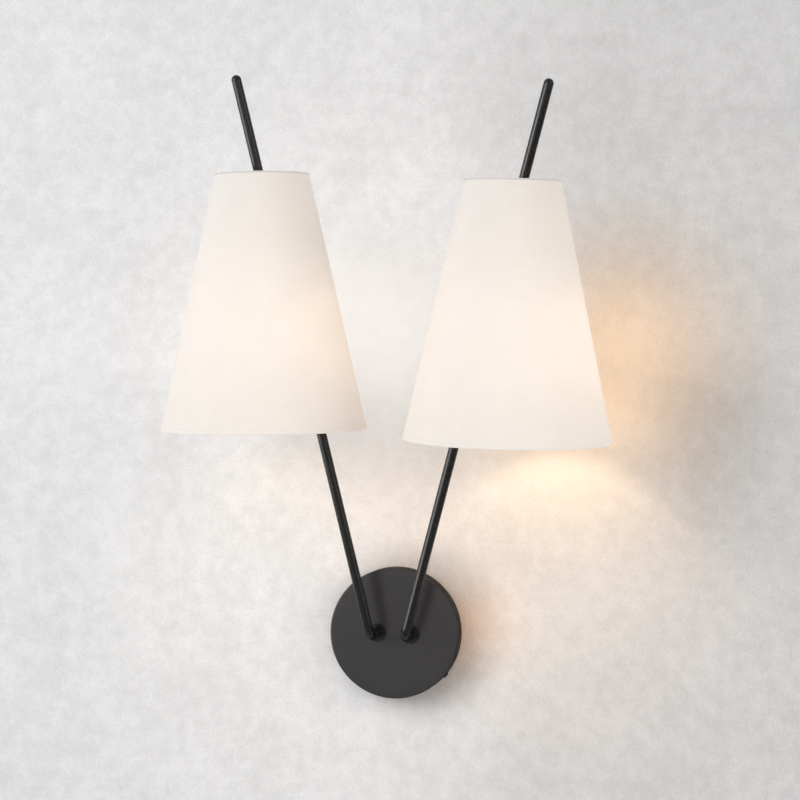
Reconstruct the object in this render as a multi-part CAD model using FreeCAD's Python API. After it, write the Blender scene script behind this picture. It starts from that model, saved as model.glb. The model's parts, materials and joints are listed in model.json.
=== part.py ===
"""Double arm wall sconce: two bent rods rise out of one round canopy, and each carries a tapered linen shade.

Millimetres. +Z up, +X to the viewer's right, the wall is the plane Y = 0 and the sconce stands out
towards -Y. The origin is the centre of the canopy on the wall.
"""

import FreeCAD
import Part
import math
import os

Vector = FreeCAD.Vector
Rotation = FreeCAD.Rotation
Placement = FreeCAD.Placement

# ---------------------------------------------------------------- driving dimensions
# canopy, a spun cup over the junction box
canopy_diameter = 130.0
canopy_depth = 21.0
canopy_wall = 1.6
canopy_edge_round = 1.2
# arms, bent from round steel tube
arm_spacing = 34.0
rod_diameter = 9.5
rod_wall = 1.2
stub_reach = 33.6
bend_radius = 13.0
rod_length = 560.0
rod_splay_deg = 14.0
rod_forward_deg = 8.6
stub_tail = 10.0
tip_spigot_length = 12.0
# turned collar round each arm at the canopy's face
collar_flange_diameter = 18.0
collar_flange_thickness = 2.4
collar_neck_diameter = 13.0
collar_length = 5.2
collar_rim_width = 1.3
collar_groove_depth = 0.9
# nut and lock washer behind the canopy's face
washer_diameter = 17.0
washer_thickness = 1.0
washer_split = 1.2
nut_across_flats = 15.0
nut_height = 4.0
# round mounting plate, screwed to the junction box
plate_thickness = 1.6
plate_edge_gap = 3.0
plate_wire_hole_diameter = 26.0
box_screw_spacing = 88.9
small_box_screw_spacing = 69.85
box_slot_width = 4.8
box_slot_length = 11.0
tab_width = 12.0
tab_depth = 12.0
tab_angles_deg = (90.0, 218.0, 322.0)
side_screw_angles_deg = (218.0, 322.0)
side_screw_diameter = 3.5
side_screw_head_diameter = 6.0
side_screw_head_height = 1.6
side_screw_length = 8.0
ground_screw_diameter = 4.0
ground_screw_head_diameter = 8.0
ground_screw_head_height = 2.4
ground_screw_slot = 1.0
ground_screw_height = -24.0
# clamp on the rod, and the swivel that levels the lamp
pivot_along_rod = 432.0
lamp_forward = 18.0
clamp_length = 13.0
clamp_wall = 2.3
boss_diameter = 9.0
boss_reach = 3.5
clamp_screw_diameter = 3.0
pivot_screw_diameter = 3.0
pivot_head_diameter = 6.0
pivot_head_height = 1.9
pivot_washer_diameter = 6.6
pivot_washer_thickness = 0.5
bracket_thickness = 2.0
bracket_width = 12.0
bracket_drop = 14.5
bracket_past_nipple = 8.8
nipple_diameter = 8.0
nipple_wall = 1.2
nipple_stand = 3.0
lead_hole_diameter = 4.0
lead_hole_above_clamp = 7.0
bush_wall = 0.6
bush_flange = 1.1
bush_flange_thickness = 0.8
# how each lamp was levelled by hand: outboard lean and tip towards the viewer
lean_left_deg = -2.3
lean_right_deg = -0.3
tip_left_deg = 1.5
tip_right_deg = 3.3
# lampholder with a candelabra screw shell
holder_diameter = 22.0
holder_length = 44.0
holder_flange_diameter = 26.0
holder_flange_thickness = 2.0
holder_flange_drop = 9.5
holder_roof = 5.0
bulb_base_diameter = 11.7
bulb_base_length = 19.0
shell_wall = 0.4
shell_length = 21.0
contact_diameter = 4.0
contact_height = 2.6
shade_nut_diameter = 28.0
shade_nut_height = 6.5
shade_nut_flutes = 12
shade_nut_flute_diameter = 3.2
# candle bulb
bulb_diameter = 35.0
bulb_length = 76.0
bulb_neck_diameter = 14.0
bulb_neck_length = 5.0
bulb_belly_drop = 30.0
bulb_tip_radius = 4.0
# shade: linen on a stiff liner, hemmed round two wire rings
shade_top_diameter = 90.2
shade_bottom_diameter = 196.8
shade_height = 244.0
shade_rise = 30.0
shade_wall = 0.8
hem_proud = 0.25
top_hem_height = 3.0
bottom_hem_height = 5.0
ring_wire_diameter = 2.6
spoke_wire_diameter = 2.4
spoke_count = 3
spoke_shelf = 5.0
spoke_bend_radius = 7.0
spoke_weld = 0.5
spoke_turn_deg = 15.0
hub_width = 3.0
hub_thickness = 1.6
# clearances
sliding_gap = 0.05
turning_gap = 0.35
slack_gap = 0.5
screw_point_gap = 0.45

# ---------------------------------------------------------------- worked-out sizes
canopy_radius = canopy_diameter / 2
canopy_inner_radius = canopy_radius - canopy_wall
rod_radius = rod_diameter / 2
rod_bore_radius = rod_radius - rod_wall
holder_radius = holder_diameter / 2
clamp_radius = rod_radius + sliding_gap + clamp_wall
boss_face = rod_radius + boss_reach
tongue_back = boss_face + sliding_gap
tongue_front = tongue_back + bracket_thickness
bracket_underside = -bracket_drop
flange_underside = bracket_underside - holder_flange_drop - holder_flange_thickness
holder_mouth = bracket_underside - holder_length
hub_top = flange_underside - sliding_gap
hub_inner_radius = holder_radius + turning_gap
hub_outer_radius = hub_inner_radius + hub_width
shade_nut_top = hub_top - hub_thickness - sliding_gap
shade_bottom = shade_rise - shade_height
shade_taper = (shade_bottom_diameter - shade_top_diameter) / 2 / shade_height

X_AXIS = Vector(1, 0, 0)
Y_AXIS = Vector(0, 1, 0)
Z_AXIS = Vector(0, 0, 1)
FORWARD = Vector(0, -1, 0)
CENTRE = Vector(0, 0, 0)
SIDES = {"left": -1, "right": 1}
LEANS = {"left": lean_left_deg, "right": lean_right_deg}
TIPS = {"left": tip_left_deg, "right": tip_right_deg}


# ---------------------------------------------------------------- small helpers
def rod_between(start, end, radius):
    """A round bar from one point to another."""
    run = end - start
    return Part.makeCylinder(radius, run.Length, start, run)


def turned(profile):
    """A solid turned round the Z axis from (radius, height) points."""
    points = [Vector(radius, 0, height) for radius, height in profile]
    face = Part.Face(Part.makePolygon(points + points[:1]))
    return face.revolve(CENTRE, Z_AXIS, 360)


def hexagon_prism(across_flats, height, base, direction):
    """A six-sided bar, such as a nut's outside."""
    corner = across_flats / math.sqrt(3)
    points = []
    for step in range(6):
        angle = math.radians(60 * step)
        points.append(Vector(corner * math.cos(angle), corner * math.sin(angle), 0))
    prism = Part.Face(Part.makePolygon(points + points[:1])).extrude(Vector(0, 0, height))
    prism.Placement = Placement(base, Rotation(Z_AXIS, direction))
    return prism


def slot_cutter(centre_x, centre_z, along, width, length):
    """A round-ended slot through the mounting plate, running along X or Z."""
    half_run = (length - width) / 2
    ends = [Vector(centre_x, 0, centre_z) + along * half_run * way for way in (-1, 1)]
    through = Y_AXIS * (3 * plate_thickness)
    cutter = rod_between(ends[0] + through, ends[0] - through, width / 2)
    cutter = cutter.fuse(rod_between(ends[1] + through, ends[1] - through, width / 2))
    bar = Part.makeBox(length - width, 6 * plate_thickness, width)
    bar.translate(Vector(-half_run, -3 * plate_thickness, -width / 2))
    bar.Placement = Placement(Vector(centre_x, 0, centre_z), Rotation(X_AXIS, along)).multiply(bar.Placement)
    return cutter.fuse(bar)


def bent_bar(start, corner, end, bend_radius_at_axis, radius):
    """A round bar with one bend: a run, a tangent arc about the corner and a second run."""
    back = (start - corner).normalize()
    ahead = (end - corner).normalize()
    half_angle = back.getAngle(ahead) / 2
    tangent = bend_radius_at_axis / math.tan(half_angle)
    leave = corner + back * tangent
    meet = corner + ahead * tangent
    centre = corner + (back + ahead).normalize() * (bend_radius_at_axis / math.sin(half_angle))
    disc = Part.Face(Part.Wire(Part.makeCircle(radius, leave, back)))
    turn_axis = ahead.cross(back).normalize()
    elbow = disc.revolve(centre, turn_axis, 180 - math.degrees(2 * half_angle))
    return rod_between(start, leave, radius).fuse(elbow).fuse(rod_between(meet, end, radius))


def save(node, *solids):
    """Write one named sub-part."""
    shape = solids[0] if len(solids) == 1 else Part.makeCompound(list(solids))
    shape.exportStep("parts/" + node + ".step")


# ---------------------------------------------------------------- canopy and what it hides
def radial(angle_deg):
    """A unit vector in the wall's plane."""
    angle = math.radians(angle_deg)
    return Vector(math.cos(angle), 0, math.sin(angle))


def arm_centres():
    """The two arm axes on the wall's plane."""
    return [Vector(side * arm_spacing / 2, 0, 0) for side in SIDES.values()]


def canopy():
    """A spun cup with a softened front edge, two arm holes and the side screw holes."""
    cup = Part.makeCylinder(canopy_radius, canopy_depth, CENTRE, FORWARD)
    front_edge = [edge for edge in cup.Edges if abs(edge.CenterOfMass.y + canopy_depth) < 0.01]
    cup = cup.makeFillet(canopy_edge_round, front_edge[:1])
    hollow_depth = canopy_depth - canopy_wall
    cup = cup.cut(Part.makeCylinder(canopy_inner_radius, hollow_depth, CENTRE, FORWARD))
    for centre in arm_centres():
        hole = Part.makeCylinder(rod_radius + sliding_gap, 2 * canopy_depth, centre, FORWARD)
        cup = cup.cut(hole)
    for angle in side_screw_angles_deg:
        start = side_screw_seat(angle) - radial(angle) * 4 * canopy_wall
        hole_radius = side_screw_diameter / 2 + sliding_gap
        cup = cup.cut(rod_between(start, start + radial(angle) * 8 * canopy_wall, hole_radius))
    return cup


def side_screw_seat(angle_deg):
    """Where a side screw's axis meets the canopy's outer wall."""
    return radial(angle_deg) * canopy_radius + FORWARD * (plate_thickness + tab_depth / 2)


def side_screw(angle_deg):
    """A pan-head screw that pins the canopy to a tab of the plate."""
    out = radial(angle_deg)
    seat = side_screw_seat(angle_deg)
    shank = rod_between(seat - out * side_screw_length, seat, side_screw_diameter / 2)
    head = rod_between(seat, seat + out * side_screw_head_height, side_screw_head_diameter / 2)
    rim = [edge for edge in head.Edges if edge.Closed and (edge.CenterOfMass - seat).Length > 1]
    head = head.makeFillet(side_screw_head_height / 2, rim[:1])
    return head.fuse(shank).removeSplitter()


def plate_tab(angle_deg):
    """A tab bent forward from the plate's edge, just inside the canopy's wall."""
    outer = canopy_inner_radius - slack_gap
    inner = canopy_inner_radius - plate_edge_gap - plate_thickness
    foot = Part.makeBox(outer - inner, plate_thickness, tab_width)
    foot.translate(Vector(inner, -plate_thickness, -tab_width / 2))
    leg = Part.makeBox(plate_thickness, plate_thickness + tab_depth, tab_width)
    leg.translate(Vector(outer - plate_thickness, -plate_thickness - tab_depth, -tab_width / 2))
    tab = foot.fuse(leg)
    barrel = Part.makeCylinder(outer, canopy_depth, CENTRE, FORWARD)
    tab = tab.common(barrel)
    tab.rotate(CENTRE, Y_AXIS, -angle_deg)
    return tab


def mounting_plate():
    """A round plate with box slots, a wire hole and three bent tabs, two of them tapped."""
    radius = canopy_inner_radius - plate_edge_gap
    plate = Part.makeCylinder(radius, plate_thickness, CENTRE, FORWARD)
    for angle in tab_angles_deg:
        plate = plate.fuse(plate_tab(angle))
    cutters = [rod_between(Y_AXIS, FORWARD * 2 * plate_thickness, plate_wire_hole_diameter / 2)]
    for way in (-1, 1):
        cutters.append(
            slot_cutter(way * box_screw_spacing / 2, 0, X_AXIS, box_slot_width, box_slot_length)
        )
        cutters.append(
            slot_cutter(0, way * small_box_screw_spacing / 2, Z_AXIS, box_slot_width, box_slot_length)
        )
    ground = Vector(-box_screw_spacing / 4, 0, ground_screw_height)
    ground_radius = ground_screw_diameter / 2 + sliding_gap
    cutters.append(rod_between(ground + Y_AXIS, ground + FORWARD * 2 * plate_thickness, ground_radius))
    for angle in side_screw_angles_deg:
        seat = side_screw_seat(angle)
        screw_radius = side_screw_diameter / 2 + sliding_gap
        cutters.append(rod_between(seat - radial(angle) * 2 * side_screw_length, seat, screw_radius))
    for cutter in cutters:
        plate = plate.cut(cutter)
    return plate.removeSplitter()


def ground_screw():
    """A washer-head screw in the plate, for the earth lead."""
    base = Vector(-box_screw_spacing / 4, 0, ground_screw_height) + FORWARD * plate_thickness
    head = rod_between(base, base + FORWARD * ground_screw_head_height, ground_screw_head_diameter / 2)
    shank = rod_between(base + Y_AXIS * plate_thickness, base, ground_screw_diameter / 2)
    groove = Part.makeBox(2 * ground_screw_head_diameter, ground_screw_head_height, ground_screw_slot)
    corner = Vector(-ground_screw_head_diameter, -1.5 * ground_screw_head_height, -ground_screw_slot / 2)
    groove.translate(base + corner)
    return head.fuse(shank).cut(groove)


def lock_washer(centre):
    """A split spring washer behind the canopy's face."""
    seat = centre + FORWARD * (canopy_depth - canopy_wall)
    back = seat + Y_AXIS * washer_thickness
    ring = rod_between(back, seat, washer_diameter / 2)
    ring = ring.cut(rod_between(back + Y_AXIS, seat + FORWARD, rod_radius + sliding_gap))
    split = Part.makeBox(washer_split, 3 * washer_thickness, washer_diameter)
    split.translate(back + Vector(-washer_split / 2, -2 * washer_thickness, 0))
    return ring.cut(split)


def arm_nut(centre):
    """A thin hexagon nut that pulls the arm's collar against the canopy."""
    seat = centre + FORWARD * (canopy_depth - canopy_wall - washer_thickness)
    back = seat + Y_AXIS * nut_height
    nut = hexagon_prism(nut_across_flats, nut_height, back, FORWARD)
    return nut.cut(rod_between(back + Y_AXIS, seat + FORWARD, rod_radius + sliding_gap))


# ---------------------------------------------------------------- arms
def rod_direction(side):
    """The way the long straight run leans: outboard, and forward from the wall."""
    splay = math.tan(math.radians(rod_splay_deg))
    forward = math.tan(math.radians(rod_forward_deg))
    return Vector(side * splay, -forward, 1).normalize()


def rod_corner(side):
    """Where the stub's axis would meet the long run's axis."""
    return Vector(side * arm_spacing / 2, -(canopy_depth + stub_reach), 0)


def on_rod(side, along):
    """A point on the long run's axis."""
    return rod_corner(side) + rod_direction(side) * along


def bent_arm(side, radius):
    """A bar along the arm's axis: a stub out of the canopy, one tight bend and the long straight run."""
    corner = rod_corner(side)
    start = Vector(corner.x, -(canopy_depth - canopy_wall - stub_tail), 0)
    return bent_bar(start, corner, on_rod(side, rod_length - rod_radius), bend_radius, radius)


def lead_hole_frame(side):
    """The centre of the hole that lets the leads out of the rod, and the way it faces."""
    centre = on_rod(side, pivot_along_rod + clamp_length / 2 + lead_hole_above_clamp)
    along = rod_direction(side)
    facing = FORWARD - along * FORWARD.dot(along)
    return centre, facing.normalize()


def arm(side):
    """A bent tube, open behind the canopy, with a lead hole just above the clamp."""
    centre, facing = lead_hole_frame(side)
    hole = rod_between(centre, centre + facing * rod_diameter, lead_hole_diameter / 2)
    return bent_arm(side, rod_radius).cut(bent_arm(side, rod_bore_radius)).cut(hole)


def rod_tip(side):
    """A domed plug in the rod's upper end."""
    dome = Part.makeSphere(rod_radius, CENTRE, Z_AXIS, 0, 90)
    plug_radius = rod_bore_radius - sliding_gap
    plug = Part.makeCylinder(plug_radius, tip_spigot_length, Vector(0, 0, -tip_spigot_length), Z_AXIS)
    tip = dome.fuse(plug)
    tip.Placement = Placement(on_rod(side, rod_length - rod_radius), Rotation(Z_AXIS, rod_direction(side)))
    return tip


def collar(side):
    """A turned collar: a wide foot with a raised rim, a groove and a neck round the tube."""
    bore = rod_radius + sliding_gap
    flange = collar_flange_diameter / 2
    neck = collar_neck_diameter / 2
    chamfer = collar_rim_width / 2
    groove_floor = collar_flange_thickness - collar_groove_depth
    profile = [
        (bore, 0),
        (flange, 0),
        (flange, collar_flange_thickness - chamfer),
        (flange - chamfer, collar_flange_thickness),
        (flange - collar_rim_width, collar_flange_thickness),
        (flange - collar_rim_width, groove_floor),
        (neck, groove_floor),
        (neck, collar_length - chamfer),
        (neck - chamfer, collar_length),
        (bore, collar_length),
    ]
    ring = turned(profile)
    ring.Placement = Placement(Vector(side * arm_spacing / 2, -canopy_depth, 0), Rotation(Z_AXIS, FORWARD))
    return ring


def lead_bush(side):
    """A small bush with an outside flange in the lead hole."""
    centre, facing = lead_hole_frame(side)
    barrel_radius = lead_hole_diameter / 2 - sliding_gap
    bore_radius = barrel_radius - bush_wall
    flange_end = rod_radius + bush_flange_thickness
    barrel = rod_between(centre + facing * rod_bore_radius, centre + facing * flange_end, barrel_radius)
    flange = rod_between(
        centre + facing * (rod_radius - bush_flange_thickness / 2),
        centre + facing * flange_end,
        barrel_radius + bush_flange,
    )
    along = rod_direction(side)
    reach = along * rod_diameter
    tube_outside = rod_between(centre - reach, centre + reach, rod_radius + sliding_gap)
    flange = flange.cut(tube_outside)
    bore = rod_between(centre, centre + facing * rod_diameter, bore_radius)
    return barrel.fuse(flange).cut(bore)


# ---------------------------------------------------------------- lamp frame
def lamp_placement(name):
    """The lamp's own frame: origin on the rod at the pivot, turned as the lamp was levelled."""
    turn = Rotation(Y_AXIS, LEANS[name]).multiply(Rotation(X_AXIS, TIPS[name]))
    return Placement(on_rod(SIDES[name], pivot_along_rod), turn)


def in_lamp_frame(shape, name):
    """Move a piece that was made at the pivot to where the lamp hangs."""
    moved = shape.copy()
    moved.Placement = lamp_placement(name).multiply(moved.Placement)
    return moved


def on_lamp_axis(shape):
    """Shift a turned piece from the Z axis to the lamp's axis in front of the rod."""
    shape.translate(FORWARD * lamp_forward)
    return shape


# ---------------------------------------------------------------- clamp and swivel
def clamp_axes(name):
    """The pivot's centre and its forward direction."""
    frame = lamp_placement(name)
    return frame.Base, frame.Rotation.multVec(FORWARD)


def rod_clamp(name):
    """A sleeve on the rod with a flat-faced boss for the swivel."""
    side = SIDES[name]
    centre, forward = clamp_axes(name)
    along = rod_direction(side)
    half = along * (clamp_length / 2)
    sleeve = rod_between(centre - half, centre + half, clamp_radius)
    ends = [edge for edge in sleeve.Edges if edge.Closed]
    sleeve = sleeve.makeChamfer(clamp_wall / 4, ends)
    boss = rod_between(centre, centre + forward * boss_face, boss_diameter / 2)
    body = sleeve.fuse(boss)
    body = body.cut(rod_between(centre - half * 2, centre + half * 2, rod_radius + sliding_gap))
    tapped = rod_between(centre, centre + forward * 2 * boss_face, pivot_screw_diameter / 2)
    body = body.cut(tapped)
    rear = rod_between(centre, centre - forward * 2 * clamp_radius, clamp_screw_diameter / 2)
    return body.cut(rear)


def clamp_screw(name):
    """A socket grub screw in the back of the clamp, its point just short of the rod."""
    centre, forward = clamp_axes(name)
    point = centre - forward * (rod_radius + screw_point_gap)
    end = centre - forward * (clamp_radius + sliding_gap)
    screw = rod_between(point, end, clamp_screw_diameter / 2)
    socket = hexagon_prism(clamp_screw_diameter / 2, clamp_wall / 2, end + forward * clamp_wall / 2, -forward)
    return screw.cut(socket)


def pivot_screw(name):
    """A shoulder screw through the bracket's tongue into the boss."""
    washer_front = tongue_front + sliding_gap + pivot_washer_thickness
    shank_end = rod_radius + screw_point_gap
    shank = rod_between(FORWARD * shank_end, FORWARD * washer_front, pivot_screw_diameter / 2)
    head_end = washer_front + pivot_head_height
    head = rod_between(FORWARD * washer_front, FORWARD * head_end, pivot_head_diameter / 2)
    rim = [edge for edge in head.Edges if edge.Closed and abs(edge.CenterOfMass.y + head_end) < 0.01]
    head = head.makeFillet(pivot_head_height / 2, rim[:1])
    slot_width = pivot_head_diameter / 6
    groove = Part.makeBox(2 * pivot_head_diameter, pivot_head_height, slot_width)
    groove.translate(Vector(-pivot_head_diameter, -head_end - pivot_head_height / 2, -slot_width / 2))
    return in_lamp_frame(head.cut(groove).fuse(shank), name)


def pivot_washer(name):
    """The friction washer under the pivot screw's head."""
    start = tongue_front + sliding_gap
    end = start + pivot_washer_thickness
    disc = rod_between(FORWARD * start, FORWARD * end, pivot_washer_diameter / 2)
    hole = rod_between(CENTRE, FORWARD * 2 * end, pivot_screw_diameter / 2 + sliding_gap)
    return in_lamp_frame(disc.cut(hole), name)


def swivel_bracket(name):
    """A strap bent to an L: a round-topped tongue on the pivot and a shelf over the lampholder."""
    half_width = bracket_width / 2
    inner = tongue_front
    outer = tongue_back
    shelf_top = bracket_underside + bracket_thickness
    shelf_reach = lamp_forward + bracket_past_nipple
    bend = bracket_thickness
    tongue = rod_between(FORWARD * outer, FORWARD * inner, half_width)
    web = Part.makeBox(bracket_width, bracket_thickness, -bracket_underside)
    web.translate(Vector(-half_width, -inner, bracket_underside))
    shelf = Part.makeBox(bracket_width, shelf_reach - outer, bracket_thickness)
    shelf.translate(Vector(-half_width, -shelf_reach, bracket_underside))
    strap = tongue.fuse(web).fuse(shelf).removeSplitter()
    heel = [
        edge
        for edge in strap.Edges
        if abs(edge.CenterOfMass.y + outer) < 0.01 and abs(edge.CenterOfMass.z - bracket_underside) < 0.01
    ]
    strap = strap.makeFillet(bend, heel)
    crook = [
        edge
        for edge in strap.Edges
        if abs(edge.CenterOfMass.y + inner) < 0.01 and abs(edge.CenterOfMass.z - shelf_top) < 0.01
    ]
    strap = strap.makeFillet(bend / 2, crook)
    front_corners = [
        edge
        for edge in strap.Edges
        if abs(edge.CenterOfMass.y + shelf_reach) < 0.01 and abs(abs(edge.CenterOfMass.x) - half_width) < 0.01
    ]
    strap = strap.makeFillet(half_width / 2, front_corners)
    pivot_hole = rod_between(CENTRE, FORWARD * 2 * inner, pivot_screw_diameter / 2 + sliding_gap)
    nipple_centre = FORWARD * lamp_forward
    nipple_hole = rod_between(
        nipple_centre + Z_AXIS * (bracket_underside - 1),
        nipple_centre + Z_AXIS * (shelf_top + 1),
        nipple_diameter / 2 + sliding_gap,
    )
    return in_lamp_frame(strap.cut(pivot_hole).cut(nipple_hole), name)


def holder_nipple(name):
    """A hollow threaded nipple that joins the shelf to the lampholder."""
    bottom = bracket_underside - holder_roof / 2
    top = bracket_underside + bracket_thickness + nipple_stand
    outer = nipple_diameter / 2
    profile = [
        (outer - nipple_wall, bottom),
        (outer, bottom),
        (outer, top),
        (outer - nipple_wall, top),
    ]
    return in_lamp_frame(on_lamp_axis(turned(profile)), name)


# ---------------------------------------------------------------- lampholder and bulb
def shell_outer_radius():
    """The outside of the screw shell round the bulb's base."""
    return bulb_base_diameter / 2 + sliding_gap + shell_wall


def lampholder(name):
    """A moulded lampholder, open downwards, with the flange that the shade's ring rests under."""
    top = bracket_underside
    flange_top = top - holder_flange_drop
    chamfer = shell_wall * 2
    bore = shell_outer_radius() + sliding_gap
    socket = nipple_diameter / 2 + sliding_gap
    floor = top - holder_roof
    profile = [
        (socket, top),
        (holder_radius - chamfer, top),
        (holder_radius, top - chamfer),
        (holder_radius, flange_top),
        (holder_flange_diameter / 2, flange_top),
        (holder_flange_diameter / 2, flange_underside),
        (holder_radius, flange_underside),
        (holder_radius, holder_mouth + chamfer),
        (holder_radius - chamfer, holder_mouth),
        (bore, holder_mouth),
        (bore, floor - contact_height * 2),
        (contact_diameter / 2 + sliding_gap, floor - contact_height * 2),
        (contact_diameter / 2 + sliding_gap, floor),
        (0, floor),
        (0, top - holder_roof / 2),
        (socket, top - holder_roof / 2),
    ]
    return in_lamp_frame(on_lamp_axis(turned(profile)), name)


def screw_shell(name):
    """The thin brass shell that grips the bulb's base."""
    outer = shell_outer_radius()
    bottom = holder_mouth + shell_wall
    profile = [
        (outer - shell_wall, bottom),
        (outer, bottom),
        (outer, bottom + shell_length),
        (outer - shell_wall, bottom + shell_length),
    ]
    return in_lamp_frame(on_lamp_axis(turned(profile)), name)


def centre_contact(name):
    """The sprung centre contact at the top of the holder's bore."""
    floor = bracket_underside - holder_roof
    base_top = holder_mouth + bulb_base_length
    radius = contact_diameter / 2
    profile = [
        (0, base_top + sliding_gap),
        (radius - shell_wall, base_top + sliding_gap),
        (radius, base_top + shell_wall + sliding_gap),
        (radius, floor),
        (0, floor),
    ]
    return in_lamp_frame(on_lamp_axis(turned(profile)), name)


def bulb_base(name):
    """The bulb's metal cap, in the screw shell."""
    radius = bulb_base_diameter / 2
    button = contact_diameter / 2
    top = holder_mouth + bulb_base_length
    shoulder = top - button
    profile = [
        (0, holder_mouth),
        (radius, holder_mouth),
        (radius, shoulder),
        (button, top),
        (0, top),
    ]
    return in_lamp_frame(on_lamp_axis(turned(profile)), name)


def bulb_glass(name):
    """A candle bulb's envelope: a neck, a sloped shoulder, a round belly and a taper to a round tip."""
    neck = bulb_neck_diameter / 2
    belly = bulb_diameter / 2
    belly_height = holder_mouth - bulb_belly_drop
    tip_height = holder_mouth - bulb_length + bulb_tip_radius
    neck_end = holder_mouth - bulb_neck_length

    def on_ball(radius, height, angle):
        return Vector(radius * math.cos(angle), 0, height + radius * math.sin(angle))

    rise = neck_end - belly_height
    shoulder = math.atan2(rise, neck) - math.acos(belly / math.hypot(neck, rise))
    taper = -math.asin((belly - bulb_tip_radius) / (belly_height - tip_height))
    nose = Vector(0, 0, tip_height - bulb_tip_radius)
    top = Vector(0, 0, holder_mouth)
    rim = Vector(neck, 0, holder_mouth)
    neck_corner = Vector(neck, 0, neck_end)
    belly_start = on_ball(belly, belly_height, shoulder)
    belly_end = on_ball(belly, belly_height, taper)
    tip_start = on_ball(bulb_tip_radius, tip_height, taper)
    tip_middle = on_ball(bulb_tip_radius, tip_height, (taper - math.pi / 2) / 2)
    edges = [
        Part.LineSegment(top, rim),
        Part.LineSegment(rim, neck_corner),
        Part.LineSegment(neck_corner, belly_start),
        Part.Arc(belly_start, on_ball(belly, belly_height, (shoulder + taper) / 2), belly_end),
        Part.LineSegment(belly_end, tip_start),
        Part.Arc(tip_start, tip_middle, nose),
        Part.LineSegment(nose, top),
    ]
    outline = Part.Wire([edge.toShape() for edge in edges])
    envelope = Part.Face(outline).revolve(CENTRE, Z_AXIS, 360)
    return in_lamp_frame(on_lamp_axis(envelope), name)


def shade_nut(name):
    """A fluted ring nut under the shade's hub ring."""
    top = shade_nut_top
    bottom = top - shade_nut_height
    outer = shade_nut_diameter / 2
    chamfer = hub_thickness / 2
    profile = [
        (holder_radius + sliding_gap, bottom),
        (outer - chamfer, bottom),
        (outer, bottom + chamfer),
        (outer, top - chamfer),
        (outer - chamfer, top),
        (holder_radius + sliding_gap, top),
    ]
    nut = turned(profile)
    for step in range(shade_nut_flutes):
        angle = 2 * math.pi * step / shade_nut_flutes
        reach = outer + shade_nut_flute_diameter / 4
        foot = Vector(reach * math.cos(angle), reach * math.sin(angle), bottom - 1)
        nut = nut.cut(rod_between(foot, foot + Z_AXIS * (shade_nut_height + 2), shade_nut_flute_diameter / 2))
    return in_lamp_frame(on_lamp_axis(nut), name)


# ---------------------------------------------------------------- shade
def shade_radius(height):
    """The shade's outside radius at a height in the lamp frame."""
    return shade_top_diameter / 2 + (shade_rise - height) * shade_taper


def shade_cover(name):
    """The tapered cover with a turned hem at the top and the bottom."""
    def skin(height, outside):
        return shade_radius(height) + outside

    top = shade_rise
    low_hem = shade_bottom + bottom_hem_height
    high_hem = top - top_hem_height
    profile = [
        (skin(shade_bottom, -shade_wall), shade_bottom),
        (skin(shade_bottom, hem_proud), shade_bottom),
        (skin(low_hem, hem_proud), low_hem),
        (skin(low_hem, 0), low_hem + hem_proud),
        (skin(high_hem, 0), high_hem - hem_proud),
        (skin(high_hem, hem_proud), high_hem),
        (skin(top, hem_proud), top),
        (skin(top, -shade_wall), top),
    ]
    return in_lamp_frame(on_lamp_axis(turned(profile)), name)


def wire_ring(height, wire_diameter):
    """A wire ring that lies just inside the cover at a height."""
    wire_radius = wire_diameter / 2
    centreline = shade_radius(height) - shade_wall - wire_radius - sliding_gap
    centreline -= wire_radius * shade_taper
    return Part.makeTorus(centreline, wire_radius, Vector(0, 0, height), Z_AXIS), centreline


def spoke(angle_deg, rim_radius, rim_height):
    """One bent wire spoke, welded to the hub ring's edge and to the top ring."""
    wire_radius = spoke_wire_diameter / 2
    low = hub_top - hub_thickness + wire_radius
    start = Vector(hub_outer_radius - spoke_weld, 0, low)
    corner = Vector(hub_outer_radius + spoke_shelf, 0, low)
    wire = bent_bar(start, corner, Vector(rim_radius, 0, rim_height), spoke_bend_radius, wire_radius)
    wire.rotate(CENTRE, Z_AXIS, angle_deg)
    return wire


def shade_spider(name):
    """The welded carrier: hub ring, bent spokes and the top wire ring, with the rod between two spokes."""
    rim_height = shade_rise - ring_wire_diameter
    rim, rim_radius = wire_ring(rim_height, ring_wire_diameter)
    hub_bottom = hub_top - hub_thickness
    hub = turned(
        [
            (hub_inner_radius, hub_bottom),
            (hub_outer_radius, hub_bottom),
            (hub_outer_radius, hub_top),
            (hub_inner_radius, hub_top),
        ]
    )
    carrier = rim.fuse(hub)
    for step in range(spoke_count):
        angle = -90 + SIDES[name] * spoke_turn_deg + step * 360 / spoke_count
        carrier = carrier.fuse(spoke(angle, rim_radius, rim_height))
    below = Vector(0, 0, hub_bottom - hub_thickness)
    bore = Part.makeCylinder(hub_inner_radius, 4 * hub_thickness, below, Z_AXIS)
    return in_lamp_frame(on_lamp_axis(carrier.cut(bore)), name)


def shade_bottom_ring(name):
    """The wire ring inside the bottom hem."""
    ring, _ = wire_ring(shade_bottom + ring_wire_diameter, ring_wire_diameter)
    return in_lamp_frame(on_lamp_axis(ring), name)


# ---------------------------------------------------------------- build
LAMP_PIECES = {
    "rod_clamp": rod_clamp,
    "swivel_bracket": swivel_bracket,
    "holder_nipple": holder_nipple,
    "lampholder": lampholder,
    "screw_shell": screw_shell,
    "centre_contact": centre_contact,
    "bulb_base": bulb_base,
    "bulb_glass": bulb_glass,
    "shade_nut": shade_nut,
    "shade_spider": shade_spider,
    "shade_bottom_ring": shade_bottom_ring,
    "shade_cover": shade_cover,
}


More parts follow.
